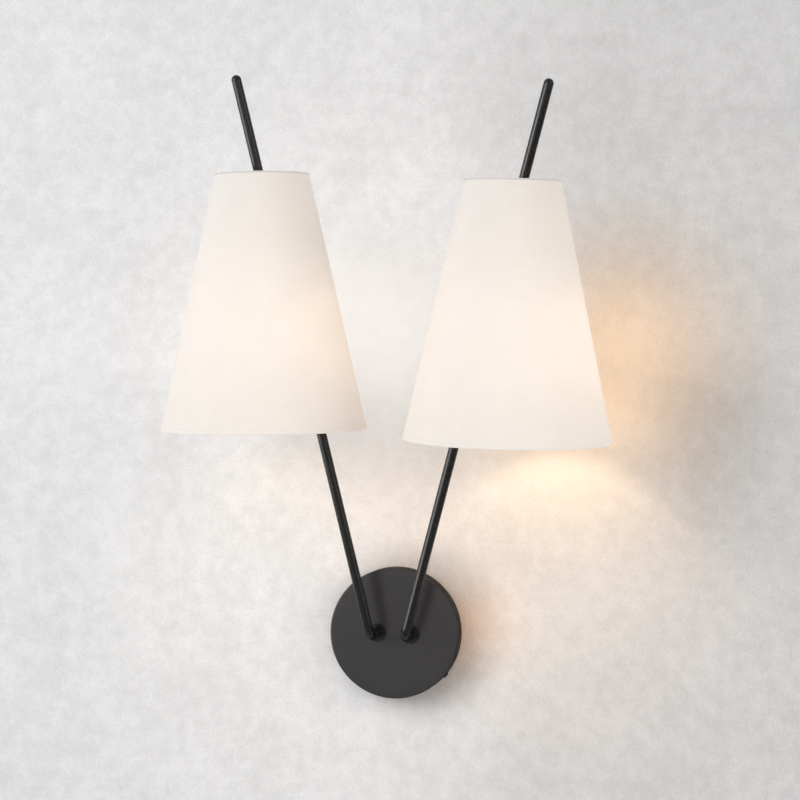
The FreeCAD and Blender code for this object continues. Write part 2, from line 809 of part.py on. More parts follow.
def main():
    """Build every piece and write it under its own name."""
    os.makedirs("parts", exist_ok=True)
    save("canopy", canopy())
    save("mounting_plate", mounting_plate())
    save("ground_screw", ground_screw())
    save("side_screws", *[side_screw(angle) for angle in side_screw_angles_deg])
    save("lock_washers", *[lock_washer(centre) for centre in arm_centres()])
    save("arm_nuts", *[arm_nut(centre) for centre in arm_centres()])
    save("lead_bushes", *[lead_bush(side) for side in SIDES.values()])
    save("clamp_screws", *[clamp_screw(name) for name in SIDES])
    save("pivot_screws", *[pivot_screw(name) for name in SIDES])
    save("pivot_washers", *[pivot_washer(name) for name in SIDES])
    for name, side in SIDES.items():
        save("arm_" + name, arm(side))
        save("rod_tip_" + name, rod_tip(side))
        save("collar_" + name, collar(side))
        for piece, make in LAMP_PIECES.items():
            save(piece + "_" + name, make(name))


main()
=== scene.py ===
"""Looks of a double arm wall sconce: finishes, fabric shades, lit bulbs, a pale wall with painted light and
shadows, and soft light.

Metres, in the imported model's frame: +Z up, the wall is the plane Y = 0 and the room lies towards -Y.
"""

import json
import logging
import math
from dataclasses import dataclass
from enum import Enum
from itertools import pairwise

import bmesh
import bpy
from mathutils import Matrix, Vector


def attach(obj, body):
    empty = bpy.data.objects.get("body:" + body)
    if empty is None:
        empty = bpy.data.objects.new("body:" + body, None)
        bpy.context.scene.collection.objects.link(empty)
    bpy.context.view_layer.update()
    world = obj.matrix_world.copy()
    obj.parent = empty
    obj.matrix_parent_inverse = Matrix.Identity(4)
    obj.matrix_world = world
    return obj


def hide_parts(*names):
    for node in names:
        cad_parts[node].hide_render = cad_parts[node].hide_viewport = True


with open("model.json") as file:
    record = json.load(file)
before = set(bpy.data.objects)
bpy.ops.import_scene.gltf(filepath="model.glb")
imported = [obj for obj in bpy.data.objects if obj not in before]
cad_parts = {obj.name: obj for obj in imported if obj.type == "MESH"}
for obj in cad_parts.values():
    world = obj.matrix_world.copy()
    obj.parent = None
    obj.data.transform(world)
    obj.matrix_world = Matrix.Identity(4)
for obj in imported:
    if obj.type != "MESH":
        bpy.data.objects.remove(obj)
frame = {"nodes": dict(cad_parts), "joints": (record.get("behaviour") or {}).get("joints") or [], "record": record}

LOG = logging.getLogger("sconce")
MM = 0.001
WALL_BODY = "wall_body"
SPECK = 0.01 * MM
LEAST_BEND_STEPS = 8
BEND_STEP_DEG = 4
ROUND_HOLE_SIDES = 48
FORWARD_TURN = Matrix.Rotation(math.radians(90), 4, "X")

Colour = tuple[float, float, float]
Spot = tuple[float, float, float]
Material = bpy.types.Material
Node = bpy.types.Node
Piece = bpy.types.Object
Socket = bpy.types.NodeSocket
Tree = bpy.types.NodeTree


class Side(Enum):
    """The two arms, as the viewer sees them."""

    LEFT = "left"
    RIGHT = "right"

    @property
    def sign(self) -> int:
        """Minus one on the left, one on the right."""
        return -1 if self is Side.LEFT else 1

    def node(self, piece: str) -> str:
        """Name this side's own copy of a piece."""
        return f"{piece}_{self.value}"


class Slot(Enum):
    """The record's material slots."""

    BLACK_METAL = "black_metal"
    ZINC = "zinc_steel"
    GREEN = "green_screw"
    BLACK_PLASTIC = "black_plastic"
    BRASS = "brass"
    OPAL = "opal_glass"
    WHITE_WIRE = "white_wire"
    LINEN = "linen"


# ---------------------------------------------------------------- modelling helpers
def start_fresh() -> None:
    """Leave edit mode and deselect every object."""
    if bpy.context.object and bpy.context.object.mode != "OBJECT":
        bpy.ops.object.mode_set(mode="OBJECT")
    bpy.ops.object.select_all(action="DESELECT")


def pick(piece: Piece) -> None:
    """Make one object the only selected and active one."""
    start_fresh()
    piece.select_set(True)
    bpy.context.view_layer.objects.active = piece


def edit_all(piece: Piece) -> None:
    """Enter edit mode on a piece with everything selected."""
    pick(piece)
    bpy.ops.object.mode_set(mode="EDIT")
    bpy.ops.mesh.select_all(action="SELECT")


def named(name: str) -> Piece:
    """Name the primitive that was just added."""
    piece = bpy.context.object
    piece.name = name
    piece.data.name = name
    return piece


def place(piece: Piece, matrix: Matrix) -> None:
    """Put a piece where it belongs by moving its mesh, with its object left at the origin."""
    piece.data.transform(matrix)
    piece.data.update()


def smooth(piece: Piece, angle_deg: float = 35.0) -> None:
    """Shade a piece smooth, but keep its edges sharp above an angle."""
    pick(piece)
    bpy.ops.object.shade_smooth_by_angle(angle=math.radians(angle_deg))


def apply_modifier(piece: Piece, kind: str, **settings: object) -> None:
    """Add a modifier with the given settings and apply it."""
    modifier = piece.modifiers.new(kind.lower(), kind)
    for key, value in settings.items():
        setattr(modifier, key, value)
    pick(piece)
    bpy.ops.object.modifier_apply(modifier=modifier.name)


def clean_shell(piece: Piece) -> None:
    """Merge doubles and turn every face outwards."""
    edit_all(piece)
    bpy.ops.mesh.remove_doubles(threshold=SPECK / 10)
    bpy.ops.mesh.normals_make_consistent(inside=False)
    bpy.ops.object.mode_set(mode="OBJECT")


def turn_outwards(piece: Piece, below: float = math.inf) -> None:
    """Flip an open skin whose faces look at the Z axis.

    Args:
        piece: The skin, still about the Z axis.
        below: Only its faces under this height are asked.
    """
    asked = (face for face in piece.data.polygons if face.center.z < below)
    if sum(face.normal.dot(Vector((face.center.x, face.center.y, 0.0))) for face in asked) < 0:
        edit_all(piece)
        bpy.ops.mesh.flip_normals()
        bpy.ops.object.mode_set(mode="OBJECT")


def arc(
    centre: tuple[float, float], radius: float, start_deg: float, end_deg: float, steps: int
) -> list[tuple[float, float]]:
    """List the points of an arc in an outline.

    Args:
        centre: The arc's centre as (radius from the axis, height).
        radius: The arc's own radius.
        start_deg: Where it starts, counted from straight outwards towards up.
        end_deg: Where it ends.
        steps: How many chords it is drawn with.

    Returns:
        The points, both ends included.
    """
    angles = [math.radians(start_deg + (end_deg - start_deg) * step / steps) for step in range(steps + 1)]
    return [(centre[0] + radius * math.cos(a), centre[1] + radius * math.sin(a)) for a in angles]


def turned(name: str, outline: list, steps: int = 96, closed: bool = True) -> Piece:
    """Turn a piece round the Z axis from an outline drawn vertex by vertex.

    Args:
        name: The piece's name.
        outline: Points of the outline as (radius, height).
        steps: How many faces go round.
        closed: Whether the outline's last point joins its first.

    Returns:
        The new piece, about the Z axis.
    """
    start_fresh()
    bpy.ops.mesh.primitive_plane_add(size=SPECK, location=(0, 0, 0))
    piece = named(name)
    bpy.ops.object.mode_set(mode="EDIT")
    bpy.ops.mesh.select_all(action="SELECT")
    bpy.ops.mesh.merge(type="CENTER")
    first_radius, first_height = outline[0]
    bpy.ops.transform.translate(value=(first_radius, 0, first_height))
    for (radius, height), (next_radius, next_height) in pairwise(outline):
        step = (next_radius - radius, 0, next_height - height)
        bpy.ops.mesh.extrude_vertices_move(TRANSFORM_OT_translate={"value": step})
    if closed:
        mesh = bmesh.from_edit_mesh(piece.data)
        for vertex in mesh.verts:
            vertex.select_set(len(vertex.link_edges) == 1)
        mesh.select_flush_mode()
        bmesh.update_edit_mesh(piece.data)
        bpy.ops.mesh.edge_face_add()
    bpy.ops.mesh.select_all(action="SELECT")
    bpy.ops.mesh.spin(steps=steps, angle=math.tau, center=(0, 0, 0), axis=(0, 0, 1))
    bpy.ops.object.mode_set(mode="OBJECT")
    clean_shell(piece)
    return piece


def bent_rod(
    name: str, start: Vector, corner: Vector, end: Vector, bend: float, radius: float, sides: int = 48
) -> Piece:
    """Make an open tube skin with one bend: a circle is extruded, spun round the bend and extruded again.

    Args:
        name: The piece's name.
        start: Where the axis starts.
        corner: Where the two straight runs would meet.
        end: Where the axis ends.
        bend: The bend's radius at the axis.
        radius: The tube's outside radius.
        sides: How many faces go round the tube.

    Returns:
        The new piece, in its place.
    """
    first = (corner - start).normalized()
    second = (end - corner).normalized()
    turn = first.angle(second)
    tangent = bend * math.tan(turn / 2)
    normal = first.cross(second).normalized()
    inward = normal.cross(first).normalized()
    first_run = (corner - start).length - tangent
    second_run = (end - corner).length - tangent
    start_fresh()
    bpy.ops.mesh.primitive_circle_add(
        vertices=sides, radius=radius, fill_type="NOTHING", location=(0, 0, 0)
    )
    piece = named(name)
    bpy.ops.object.mode_set(mode="EDIT")
    bpy.ops.mesh.select_all(action="SELECT")
    bpy.ops.mesh.extrude_region_move(TRANSFORM_OT_translate={"value": (0, 0, first_run)})
    steps = max(LEAST_BEND_STEPS, round(math.degrees(turn) / BEND_STEP_DEG))
    bpy.ops.mesh.spin(steps=steps, angle=turn, center=(bend, 0, first_run), axis=(0, -1, 0))
    ahead = (math.sin(turn) * second_run, 0, math.cos(turn) * second_run)
    bpy.ops.mesh.extrude_region_move(TRANSFORM_OT_translate={"value": ahead})
    bpy.ops.object.mode_set(mode="OBJECT")
    clean_shell(piece)
    turn_outwards(piece, below=first_run)
    axes = Matrix((inward, normal, first)).transposed()
    place(piece, Matrix.Translation(start) @ axes.to_4x4())
    return piece


def bore(piece: Piece, centre: Vector, direction: Vector, radius: float, depth: float) -> None:
    """Bore a round hole.

    Args:
        piece: The piece to cut.
        centre: The hole's middle.
        direction: The hole's axis.
        radius: The hole's radius.
        depth: The cutter's full length.
    """
    start_fresh()
    turn = direction.to_track_quat("Z", "Y").to_euler()
    bpy.ops.mesh.primitive_cylinder_add(
        vertices=ROUND_HOLE_SIDES, radius=radius, depth=depth, location=centre, rotation=turn
    )
    cutter = named("cutter")
    apply_modifier(piece, "BOOLEAN", object=cutter, operation="DIFFERENCE", solver="EXACT")
    bpy.data.objects.remove(cutter)


def finish_piece(piece: Piece, body: str, material: Material) -> None:
    """Give a new piece its finish and let it ride on its body."""
    piece.data.materials.clear()
    piece.data.materials.append(material)
    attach(piece, body)
    LOG.info("made %s, %d faces", piece.name, len(piece.data.polygons))


def dress(node: str, material: Material) -> None:
    """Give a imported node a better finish, with its shape as it is."""
    mesh = frame["nodes"][node].data
    mesh.materials.clear()
    mesh.materials.append(material)
    LOG.info("dressed %s", node)


# ---------------------------------------------------------------- node trees
def rgba(colour: Colour, share: float = 1.0) -> tuple[float, float, float, float]:
    """Scale a colour and give it a full alpha."""
    return (*(channel * share for channel in colour), 1.0)


DARK = rgba((0.0, 0.0, 0.0))


class Graph:
    """A node tree with short ways to add and join nodes."""

    def __init__(self, tree: Tree) -> None:
        """Start from an empty tree."""
        self.tree = tree
        tree.nodes.clear()

    @classmethod
    def start(cls, name: str) -> tuple[Material, "Graph"]:
        """Start a new material."""
        material = bpy.data.materials.new(name)
        material.use_nodes = True
        return material, cls(material.node_tree)

    def add(self, kind: str, **settings: object) -> Node:
        """Add a node and set its properties."""
        node = self.tree.nodes.new("ShaderNode" + kind)
        for key, value in settings.items():
            setattr(node, key, value)
        return node

    def feed(self, socket: Socket, value: object) -> None:
        """Join another socket to an input, or set the input's own value."""
        if isinstance(value, Socket):
            self.tree.links.new(value, socket)
        else:
            socket.default_value = value

    def fill(self, node: Node, values: dict[str, object]) -> Node:
        """Feed a node's inputs by name, with an underscore for each space."""
        for key, value in values.items():
            self.feed(node.inputs[key.replace("_", " ")], value)
        return node

    def math(self, operation: str, first: object, second: object = 0.0, clamp: bool = False) -> Socket:
        """Work out one sum of two numbers."""
        node = self.add("Math", operation=operation, use_clamp=clamp)
        self.feed(node.inputs[0], first)
        self.feed(node.inputs[1], second)
        return node.outputs[0]

    def times(self, first: object, *others: object) -> Socket:
        """Multiply numbers."""
        for other in others:
            first = self.math("MULTIPLY", first, other)
        return first

    def plus(self, first: object, *others: object) -> Socket:
        """Add numbers."""
        for other in others:
            first = self.math("ADD", first, other)
        return first

    def vector_math(self, operation: str, first: object, second: object) -> Node:
        """Work out one sum of two vectors."""
        node = self.add("VectorMath", operation=operation)
        self.feed(node.inputs[0], first)
        self.feed(node.inputs[1], second)
        return node

    def split(self, vector: object) -> tuple[Socket, Socket, Socket]:
        """Take a vector apart."""
        node = self.add("SeparateXYZ")
        self.feed(node.inputs[0], vector)
        return tuple(node.outputs)

    def remap(
        self, value: object, low: float, high: float, to_low: float = 0.0, to_high: float = 1.0
    ) -> Socket:
        """Map a range of numbers smoothly onto another, clamped."""
        node = self.add("MapRange", interpolation_type="SMOOTHSTEP")
        for socket, number in zip(node.inputs, (value, low, high, to_low, to_high)):
            self.feed(socket, number)
        return node.outputs[0]

    def mix(self, factor: object, first: object, second: object, blend: str = "MIX") -> Socket:
        """Mix two colours."""
        node = self.add("Mix", data_type="RGBA", blend_type=blend)
        for place, value in ((0, factor), (6, first), (7, second)):
            self.feed(node.inputs[place], value)
        return node.outputs[2]

    def noise(self, vector: object, scale: object, detail: float = 3.0, roughness: float = 0.5) -> Socket:
        """Sample smooth noise from 0 to 1."""
        values = {"Vector": vector, "Scale": scale, "Detail": detail, "Roughness": roughness}
        return self.fill(self.add("TexNoise"), values).outputs["Fac"]

    def stretch(self, vector: object, scale: Spot) -> Socket:
        """Scale a pattern's coordinates by a different amount each way."""
        return self.fill(self.add("Mapping"), {"Vector": vector, "Scale": scale}).outputs[0]

    def where(self) -> Socket:
        """Give each point's place on the object."""
        return self.add("TexCoord").outputs["Object"]

    def bump(self, height: object, depth: float) -> Socket:
        """Raise the surface by a pattern."""
        return self.fill(self.add("Bump"), {"Strength": 1.0, "Distance": depth, "Height": height}).outputs[0]

    def group(self, group: Tree, **values: object) -> Node:
        """Place a shared effect with its own values."""
        return self.fill(self.add("Group", node_tree=group), values)

    def principled(self, **values: object) -> Node:
        """Add the shader: what is the same all over is set on its own sockets, and patterns are joined."""
        return self.fill(self.add("BsdfPrincipled"), values)

    def show(self, shader: Node) -> None:
        """Join a shader to the material's output."""
        self.feed(self.add("OutputMaterial").inputs[0], shader.outputs[0])


def effect(name: str, inputs: dict[str, object], outputs: dict[str, str]) -> tuple[Graph, dict, dict]:
    """Start a shared effect, which always takes a Vector.

    Args:
        name: The group's name.
        inputs: Each further input's name and default, a number or a colour.
        outputs: Each output's name and its kind, Float or Color.

    Returns:
        The group's graph, its input sockets by name and its output sockets by name.
    """
    tree = bpy.data.node_groups.new(name, "ShaderNodeTree")
    graph = Graph(tree)
    inputs = {"Vector": (0.0, 0.0, 0.0), **inputs}
    kinds = {1: "Float", 3: "Vector", 4: "Color"}
    for key, default in inputs.items():
        size = len(default) if isinstance(default, tuple) else 1
        socket = tree.interface.new_socket(name=key, in_out="INPUT", socket_type="NodeSocket" + kinds[size])
        socket.default_value = default
    for key, kind in outputs.items():
        tree.interface.new_socket(name=key, in_out="OUTPUT", socket_type="NodeSocket" + kind)
    sources = tree.nodes.new("NodeGroupInput").outputs
    ends = tree.nodes.new("NodeGroupOutput").inputs
    return graph, {key: sources[key] for key in inputs}, {key: ends[key] for key in outputs}


class Effects:
    """The effects that several finishes share, each built once."""

    def __init__(self) -> None:
        """Build every effect."""
        self.edge_wear = self.build_edge_wear()
        self.grain = self.build_grain()
        self.dust = self.build_dust()
        self.weave = self.build_weave()
        self.glow = self.build_glow()
        self.hairlines = self.build_hairlines()

    @staticmethod
    def build_edge_wear() -> Tree:
        """Mask the sharp edges of a piece, broken up by noise."""
        graph, source, end = effect("edge_wear", {"Amount": 0.5}, {"Mask": "Float"})
        edge = graph.remap(graph.add("NewGeometry").outputs["Pointiness"], low=0.515, high=0.56)
        chips = graph.noise(source["Vector"], scale=420.0, detail=4.0, roughness=0.6)
        broken = graph.remap(chips, low=0.42, high=0.62)
        graph.feed(end["Mask"], graph.times(edge, broken, source["Amount"]))
        return graph.tree

    @staticmethod
    def build_grain() -> Tree:
        """Make the fine orange-peel texture of sprayed or moulded surfaces."""
        graph, source, end = effect("fine_grain", {"Size": 0.001}, {"Height": "Float", "Tone": "Float"})
        scale = graph.math("DIVIDE", 1.0, source["Size"])
        coarse, fine = (
            graph.noise(source["Vector"], scale=graph.times(scale, finer), detail=2.0) for finer in (1.0, 3.1)
        )
        graph.feed(end["Height"], graph.plus(coarse, graph.times(fine, 0.4)))
        graph.feed(end["Tone"], graph.noise(source["Vector"], scale=55.0))
        return graph.tree

    @staticmethod
    def build_dust() -> Tree:
        """Mask a thin film of dust on faces that look up."""
        graph, source, end = effect("dust", {"Amount": 0.3}, {"Mask": "Float"})
        facing = graph.split(graph.add("NewGeometry").outputs["Normal"])[2]
        upward = graph.remap(facing, low=0.1, high=0.95)
        patches = graph.noise(source["Vector"], scale=160.0, detail=5.0, roughness=0.65)
        patches = graph.remap(patches, low=0.3, high=0.75)
        graph.feed(end["Mask"], graph.times(upward, patches, source["Amount"]))
        return graph.tree

    @staticmethod
    def build_hairlines() -> Tree:
        """Make fine hairlines and soft cloudiness for bare metal."""
        graph, source, end = effect("hairlines", {}, {"Height": "Float", "Tone": "Float"})
        along = graph.stretch(source["Vector"], (150.0, 150.0, 5200.0))
        lines = graph.noise(along, scale=1.0, detail=2.0, roughness=0.6)
        cloud = graph.noise(source["Vector"], scale=320.0, detail=4.0, roughness=0.6)
        graph.feed(end["Height"], lines)
        graph.feed(end["Tone"], graph.plus(graph.times(lines, 0.5), graph.times(cloud, 0.5)))
        return graph.tree

    @staticmethod
    def build_weave() -> Tree:
        """Make a plain linen weave with uneven threads and slubs from a flat pattern's coordinates."""
        outputs = {"Height": "Float", "Tone": "Float", "Gap": "Float"}
        graph, source, end = effect("linen_weave", {"Pitch": 0.0006, "Slubs": 0.5}, outputs)
        cloth = source["Vector"]
        wander = graph.fill(graph.add("TexNoise"), {"Vector": cloth, "Scale": 90.0})
        drift = graph.add("VectorMath", operation="SCALE")
        graph.fill(drift, {"Vector": wander.outputs["Color"], "Scale": 0.0007})
        across, along, _ = graph.split(graph.vector_math("ADD", cloth, drift.outputs[0]).outputs[0])
        turn = graph.math("DIVIDE", math.pi, source["Pitch"])
        warp, weft = (graph.math("SINE", graph.times(run, turn)) for run in (across, along))
        warp_size, weft_size = (graph.math("ABSOLUTE", thread) for thread in (warp, weft))
        threads = graph.math("MAXIMUM", warp_size, weft_size)
        cross = graph.times(warp_size, weft_size)
        long_weft, long_warp = (
            graph.noise(graph.stretch(cloth, runs), scale=1.0, roughness=0.6)
            for runs in ((26.0, 1250.0, 1.0), (1250.0, 22.0, 1.0))
        )
        thick = graph.noise(graph.stretch(cloth, (60.0, 1500.0, 1.0)), scale=1.0, detail=1.0)
        slub = graph.times(graph.remap(thick, low=0.62, high=0.8), source["Slubs"])
        uneven = graph.plus(graph.times(long_weft, 0.6), graph.times(long_warp, 0.4))
        over = graph.times(warp, weft, 0.25)
        rises = ((threads, 0.35), (uneven, 0.7), (slub, 0.9))
        height = graph.plus(over, *(graph.times(part, share) for part, share in rises))
        graph.feed(end["Height"], height)
        graph.feed(end["Tone"], graph.plus(uneven, graph.times(slub, 0.3)))
        covered = graph.math("MAXIMUM", threads, cross)
        graph.feed(end["Gap"], graph.math("SUBTRACT", 1.0, covered, clamp=True))
        return graph.tree

    @staticmethod
    def build_glow() -> Tree:
        """Work out how brightly a bulb on the lamp's axis lights a wall round it."""
        graph, source, end = effect(
            "lamp_glow",
            {"Reach": 0.06, "Warm": rgba((1.0, 0.8, 0.55)), "Faint": rgba((0.1, 0.1, 0.1))},
            {"Color": "Color"},
        )
        squares = [graph.math("POWER", part, 2.0) for part in graph.split(source["Vector"])]
        across = graph.plus(*squares[:2])
        cubed = graph.math("POWER", graph.plus(across, squares[2]), 1.5)
        reach = graph.math("POWER", source["Reach"], 2.0)
        share = graph.math("DIVIDE", graph.times(graph.math("SQRT", across), reach), cubed, clamp=True)
        share = graph.math("POWER", share, 0.5)
        graph.feed(end["Color"], graph.mix(share, source["Faint"], source["Warm"]))
        return graph.tree


# ---------------------------------------------------------------- finishes
@dataclass(frozen=True)
class Coat:
    """A sprayed, plated or moulded finish.

    Attributes:
        name: The material's name.
        colour: Its base colour.
        worn: The colour that shows at worn edges.
        roughness: Its mean roughness.
        metallic: One for bare metal.
        grain: The size of its surface texture.
        bump: How deep that texture is.
        wear: How much of each edge is worn.
        dust: How much dust lies on what looks up.
        hairlines: Whether it shows the fine lines of bare metal.
        gloss: Its specular level.
        clouding: How far its colour and its gloss drift, as a share.
        shaded_matt_sides: How much painted shade darkens the faces that look along the wall, and how much rougher
            they are.
        dust_colour: The colour of the dust.
        dust_dulls: How much rougher dust makes it.
        gloss_drift: How far its roughness drifts for each share of clouding.
        shaded_side_colour: How much of its colour those sides keep under the painted shade.
        side_dulls: How much rougher they are.
    """

    name: str
    colour: Colour
    worn: Colour
    roughness: float
    metallic: float = 0.0
    grain: float = 0.0011
    bump: float = 0.00002
    wear: float = 0.35
    dust: float = 0.12
    hairlines: bool = False
    gloss: float = 0.5
    clouding: float = 0.13
    shaded_matt_sides: float = 0.0
    dust_colour: Colour = (0.42, 0.40, 0.37)
    dust_dulls: float = 0.3
    gloss_drift: float = 0.8
    shaded_side_colour: float = 0.2
    side_dulls: float = 0.6

    def build(self, effects: Effects) -> Material:
        """Build the material from the shared effects."""
        material, graph = Graph.start(self.name)
        where = graph.where()
        if self.hairlines:
            surface = graph.group(effects.hairlines, Vector=where)
        else:
            surface = graph.group(effects.grain, Vector=where, Size=self.grain)
        wear = graph.group(effects.edge_wear, Vector=where, Amount=self.wear).outputs["Mask"]
        dust = graph.group(effects.dust, Vector=where, Amount=self.dust).outputs["Mask"]
        tone = graph.remap(surface.outputs["Tone"], low=0.3, high=0.7)
        base = graph.mix(tone, rgba(self.colour, 1 - self.clouding), rgba(self.colour, 1 + self.clouding))
        base = graph.mix(wear, base, rgba(self.worn))
        base = graph.mix(dust, base, rgba(self.dust_colour))
        drift = self.gloss_drift * self.clouding
        rough = graph.plus(graph.times(tone, drift), self.roughness - drift / 2)
        rough = graph.math("ADD", rough, graph.times(dust, self.dust_dulls), clamp=True)
        if self.shaded_matt_sides:
            base, rough = self.shade_and_dull_sides(graph, base, rough)
        graph.show(graph.principled(
            Metallic=self.metallic, Specular_IOR_Level=self.gloss, Base_Color=base, Roughness=rough,
            Normal=graph.bump(surface.outputs["Height"], self.bump),
        ))
        return material

    def shade_and_dull_sides(self, graph: Graph, base: Socket, rough: Socket) -> tuple[Socket, Socket]:
        """Paint shade on the faces that look along the wall, darker than the front, and make them rougher.

        Args:
            graph: The material's graph.
            base: Its colour so far.
            rough: Its roughness so far.

        Returns:
            The new colour and the new roughness.
        """
        depth = graph.split(graph.add("NewGeometry").outputs["True Normal"])[1]
        ahead = graph.math("ABSOLUTE", depth)
        # painted shade: the faces that look along the wall get a darker colour, and more roughness
        sideways = graph.remap(ahead, low=0.25, high=0.75, to_low=self.shaded_matt_sides, to_high=0.0)
        rougher = graph.math("ADD", rough, graph.times(sideways, self.side_dulls), clamp=True)
        return graph.mix(sideways, base, rgba(self.colour, self.shaded_side_colour)), rougher


@dataclass(frozen=True)
class Cloth:
    """A woven or coated sheet that light from the bulb shows through.

    Attributes:
        name: The material's name.
        colour: The thread's colour.
        shadow: The colour between the threads.
        warm: The light that comes through nearest the bulb.
        faint: The light that comes through far from it.
        strength: How strongly that light shows.
        pitch: The distance from thread to thread.
        slubs: How many thick threads there are.
        bump: How deep the weave is.
        roughness: Its roughness.
        sheen: The fibres' sheen.
        gloss: Its specular level.
        painted_right_glow_m: How far to the right of the lamp's axis the glow is centred, which paints light onto
            both shades' right flanks.
        gap_shadow: How much the gaps between threads darken it.
        paler: How much soft paler patches show.
        thick_shade: How much thick threads hold back the light.
    """

    name: str
    colour: Colour
    shadow: Colour
    warm: Colour
    faint: Colour
    strength: float = 1.0
    pitch: float = 0.00062
    slubs: float = 0.6
    bump: float = 0.00012
    roughness: float = 0.9
    sheen: float = 0.15
    gloss: float = 0.2
    painted_right_glow_m: float = 0.033
    gap_shadow: float = 0.5
    paler: float = 0.35
    thick_shade: float = 0.16

    def build(self, effects: Effects, lamp: Matrix, bulb_height: float, side: Side) -> Material:
        """Build the material.

        Args:
            effects: The shared effects.
            lamp: The lamp's own frame.
            bulb_height: The bulb's middle, as a height in that frame.
            side: Which lamp it is for.

        Returns:
            The new material, which glows round that lamp's bulb.
        """
        material, graph = Graph.start(side.node(self.name))
        places = graph.add("TexCoord").outputs
        weave = graph.group(effects.weave, Vector=places["UV"], Pitch=self.pitch, Slubs=self.slubs).outputs
        tone = graph.remap(weave["Tone"], low=0.32, high=0.78)
        base = graph.mix(tone, rgba(self.shadow), rgba(self.colour))
        base = graph.mix(graph.times(weave["Gap"], self.gap_shadow), base, rgba(self.shadow))
        cloud = graph.noise(places["Object"], scale=38.0, detail=4.0)
        paler = graph.times(graph.remap(cloud, low=0.3, high=0.7), self.paler)
        base = graph.mix(paler, base, rgba(self.colour))
        # painted light: the glow's middle is moved to the right, brightening the right flank of each shade
        bulb = Matrix.Translation((self.painted_right_glow_m, 0, 0)) @ lamp @ Matrix.Translation((0, 0, bulb_height))
        to_lamp = bulb.inverted()
        local = graph.fill(graph.add("Mapping"), {
            "Vector": places["Object"],
            "Rotation": to_lamp.to_euler("XYZ"),
            "Location": to_lamp.to_translation(),
        })
        warm, faint = rgba(self.warm), rgba(self.faint)
        glow = graph.group(effects.glow, Vector=local.outputs[0], Warm=warm, Faint=faint)
        uneven = graph.plus(graph.times(tone, -self.thick_shade), 1.0 + self.thick_shade / 2)
        light = graph.mix(1.0, glow.outputs["Color"], uneven, blend="MULTIPLY")
        graph.show(graph.principled(
            Roughness=self.roughness, Sheen_Weight=self.sheen, Specular_IOR_Level=self.gloss,
            Emission_Strength=self.strength, Base_Color=base, Emission_Color=light,
            Normal=graph.bump(weave["Height"], self.bump),
        ))
        return material


@dataclass(frozen=True)
class Opal:
    """Lit opal glass.

    Attributes:
        name: The material's name.
        colour: The glass.
        light: The light that it gives.
        palest: That light where it is palest.
        strength: How bright it is.
        roughness: Its roughness.
        coat: How much clear gloss lies over it.
    """

    name: str = "opal_glass"
    colour: Colour = (0.93, 0.90, 0.84)
    light: Colour = (1.0, 0.74, 0.44)
    palest: Colour = (1.0, 0.78, 0.5)
    strength: float = 14.0
    roughness: float = 0.22
    coat: float = 0.5

    def build(self) -> Material:
        """Build the material, its light softly uneven."""
        material, graph = Graph.start(self.name)
        cloud = graph.remap(graph.noise(graph.where(), scale=60.0), low=0.35, high=0.65)
        light = graph.mix(cloud, rgba(self.light), rgba(self.palest))
        graph.show(graph.principled(
            Base_Color=rgba(self.colour), Roughness=self.roughness, Coat_Weight=self.coat,
            Emission_Strength=self.strength, Emission_Color=light,
        ))
        return material


BLACK_COAT = Coat(
    "black_powder_coat", (0.0195, 0.0175, 0.0182), (0.09, 0.08, 0.07), 0.24, bump=0.000006, wear=0.2,
    dust=0.02, gloss=0.37, clouding=0.02, shaded_matt_sides=0.85,
)
ROD_COAT = Coat(
    "black_rod_coat", (0.0040, 0.0038, 0.0040), (0.05, 0.042, 0.035), 0.21, bump=0.000004, wear=0.25,
    dust=0.02, gloss=0.27, clouding=0.04,
)
ZINC_PLATE = Coat(
    "zinc_plate", (0.58, 0.58, 0.56), (0.70, 0.70, 0.68), 0.34, metallic=1.0, bump=0.00001, hairlines=True
)
BRIGHT_BRASS = Coat(
    "bright_brass", (0.72, 0.52, 0.24), (0.85, 0.68, 0.40), 0.28, metallic=1.0, bump=0.00001, hairlines=True
)
GREEN_PLATE = Coat("green_plate", (0.05, 0.22, 0.09), (0.5, 0.5, 0.45), 0.36, metallic=0.5)
MOULDED_BLACK = Coat("moulded_phenolic", (0.021, 0.020, 0.019), (0.06, 0.055, 0.05), 0.46, grain=0.0006)
WHITE_COAT = Coat("white_wire_coat", (0.74, 0.73, 0.70), (0.55, 0.54, 0.52), 0.38, wear=0.2, dust=0.2)
COATS = {
    Slot.BLACK_METAL: BLACK_COAT,
    Slot.ZINC: ZINC_PLATE,
    Slot.GREEN: GREEN_PLATE,
    Slot.BLACK_PLASTIC: MOULDED_BLACK,
    Slot.BRASS: BRIGHT_BRASS,
    Slot.WHITE_WIRE: WHITE_COAT,
}
LINEN = Cloth("linen", (0.70, 0.685, 0.665), (0.63, 0.612, 0.59), (0.37, 0.275, 0.20), (0.085, 0.068, 0.06))
LINER = Cloth(
    "shade_liner", (0.80, 0.78, 0.75), (0.77, 0.75, 0.72), (0.16, 0.115, 0.07), (0.05, 0.04, 0.03),
    slubs=0.0, bump=0.00002, sheen=0.0, roughness=0.55,
)
HEM = Cloth(
    "hem_tape", (0.70, 0.687, 0.672), (0.63, 0.613, 0.597), (0.34, 0.257, 0.192), (0.085, 0.070, 0.063)
)
# The top hem is darker and glows less than the bottom one: painted shade for the thin grey line along the top
# edge.
SHADED_TOP_HEM = Cloth(
    "shaded_top_hem_tape", (0.64, 0.605, 0.585), (0.56, 0.53, 0.51), (0.06, 0.05, 0.04), (0.02, 0.017, 0.015)
)


# ---------------------------------------------------------------- the stage
@dataclass(frozen=True)
class Glow:
    """A soft round patch of light on the wall.

    Attributes:
        across: Its middle, to the right of the object's axis.
        up: Its middle's height.
        spread: How wide it is.
        colour: The light that it adds in its middle.
    """

    across: float
    up: float
    spread: float
    colour: Colour


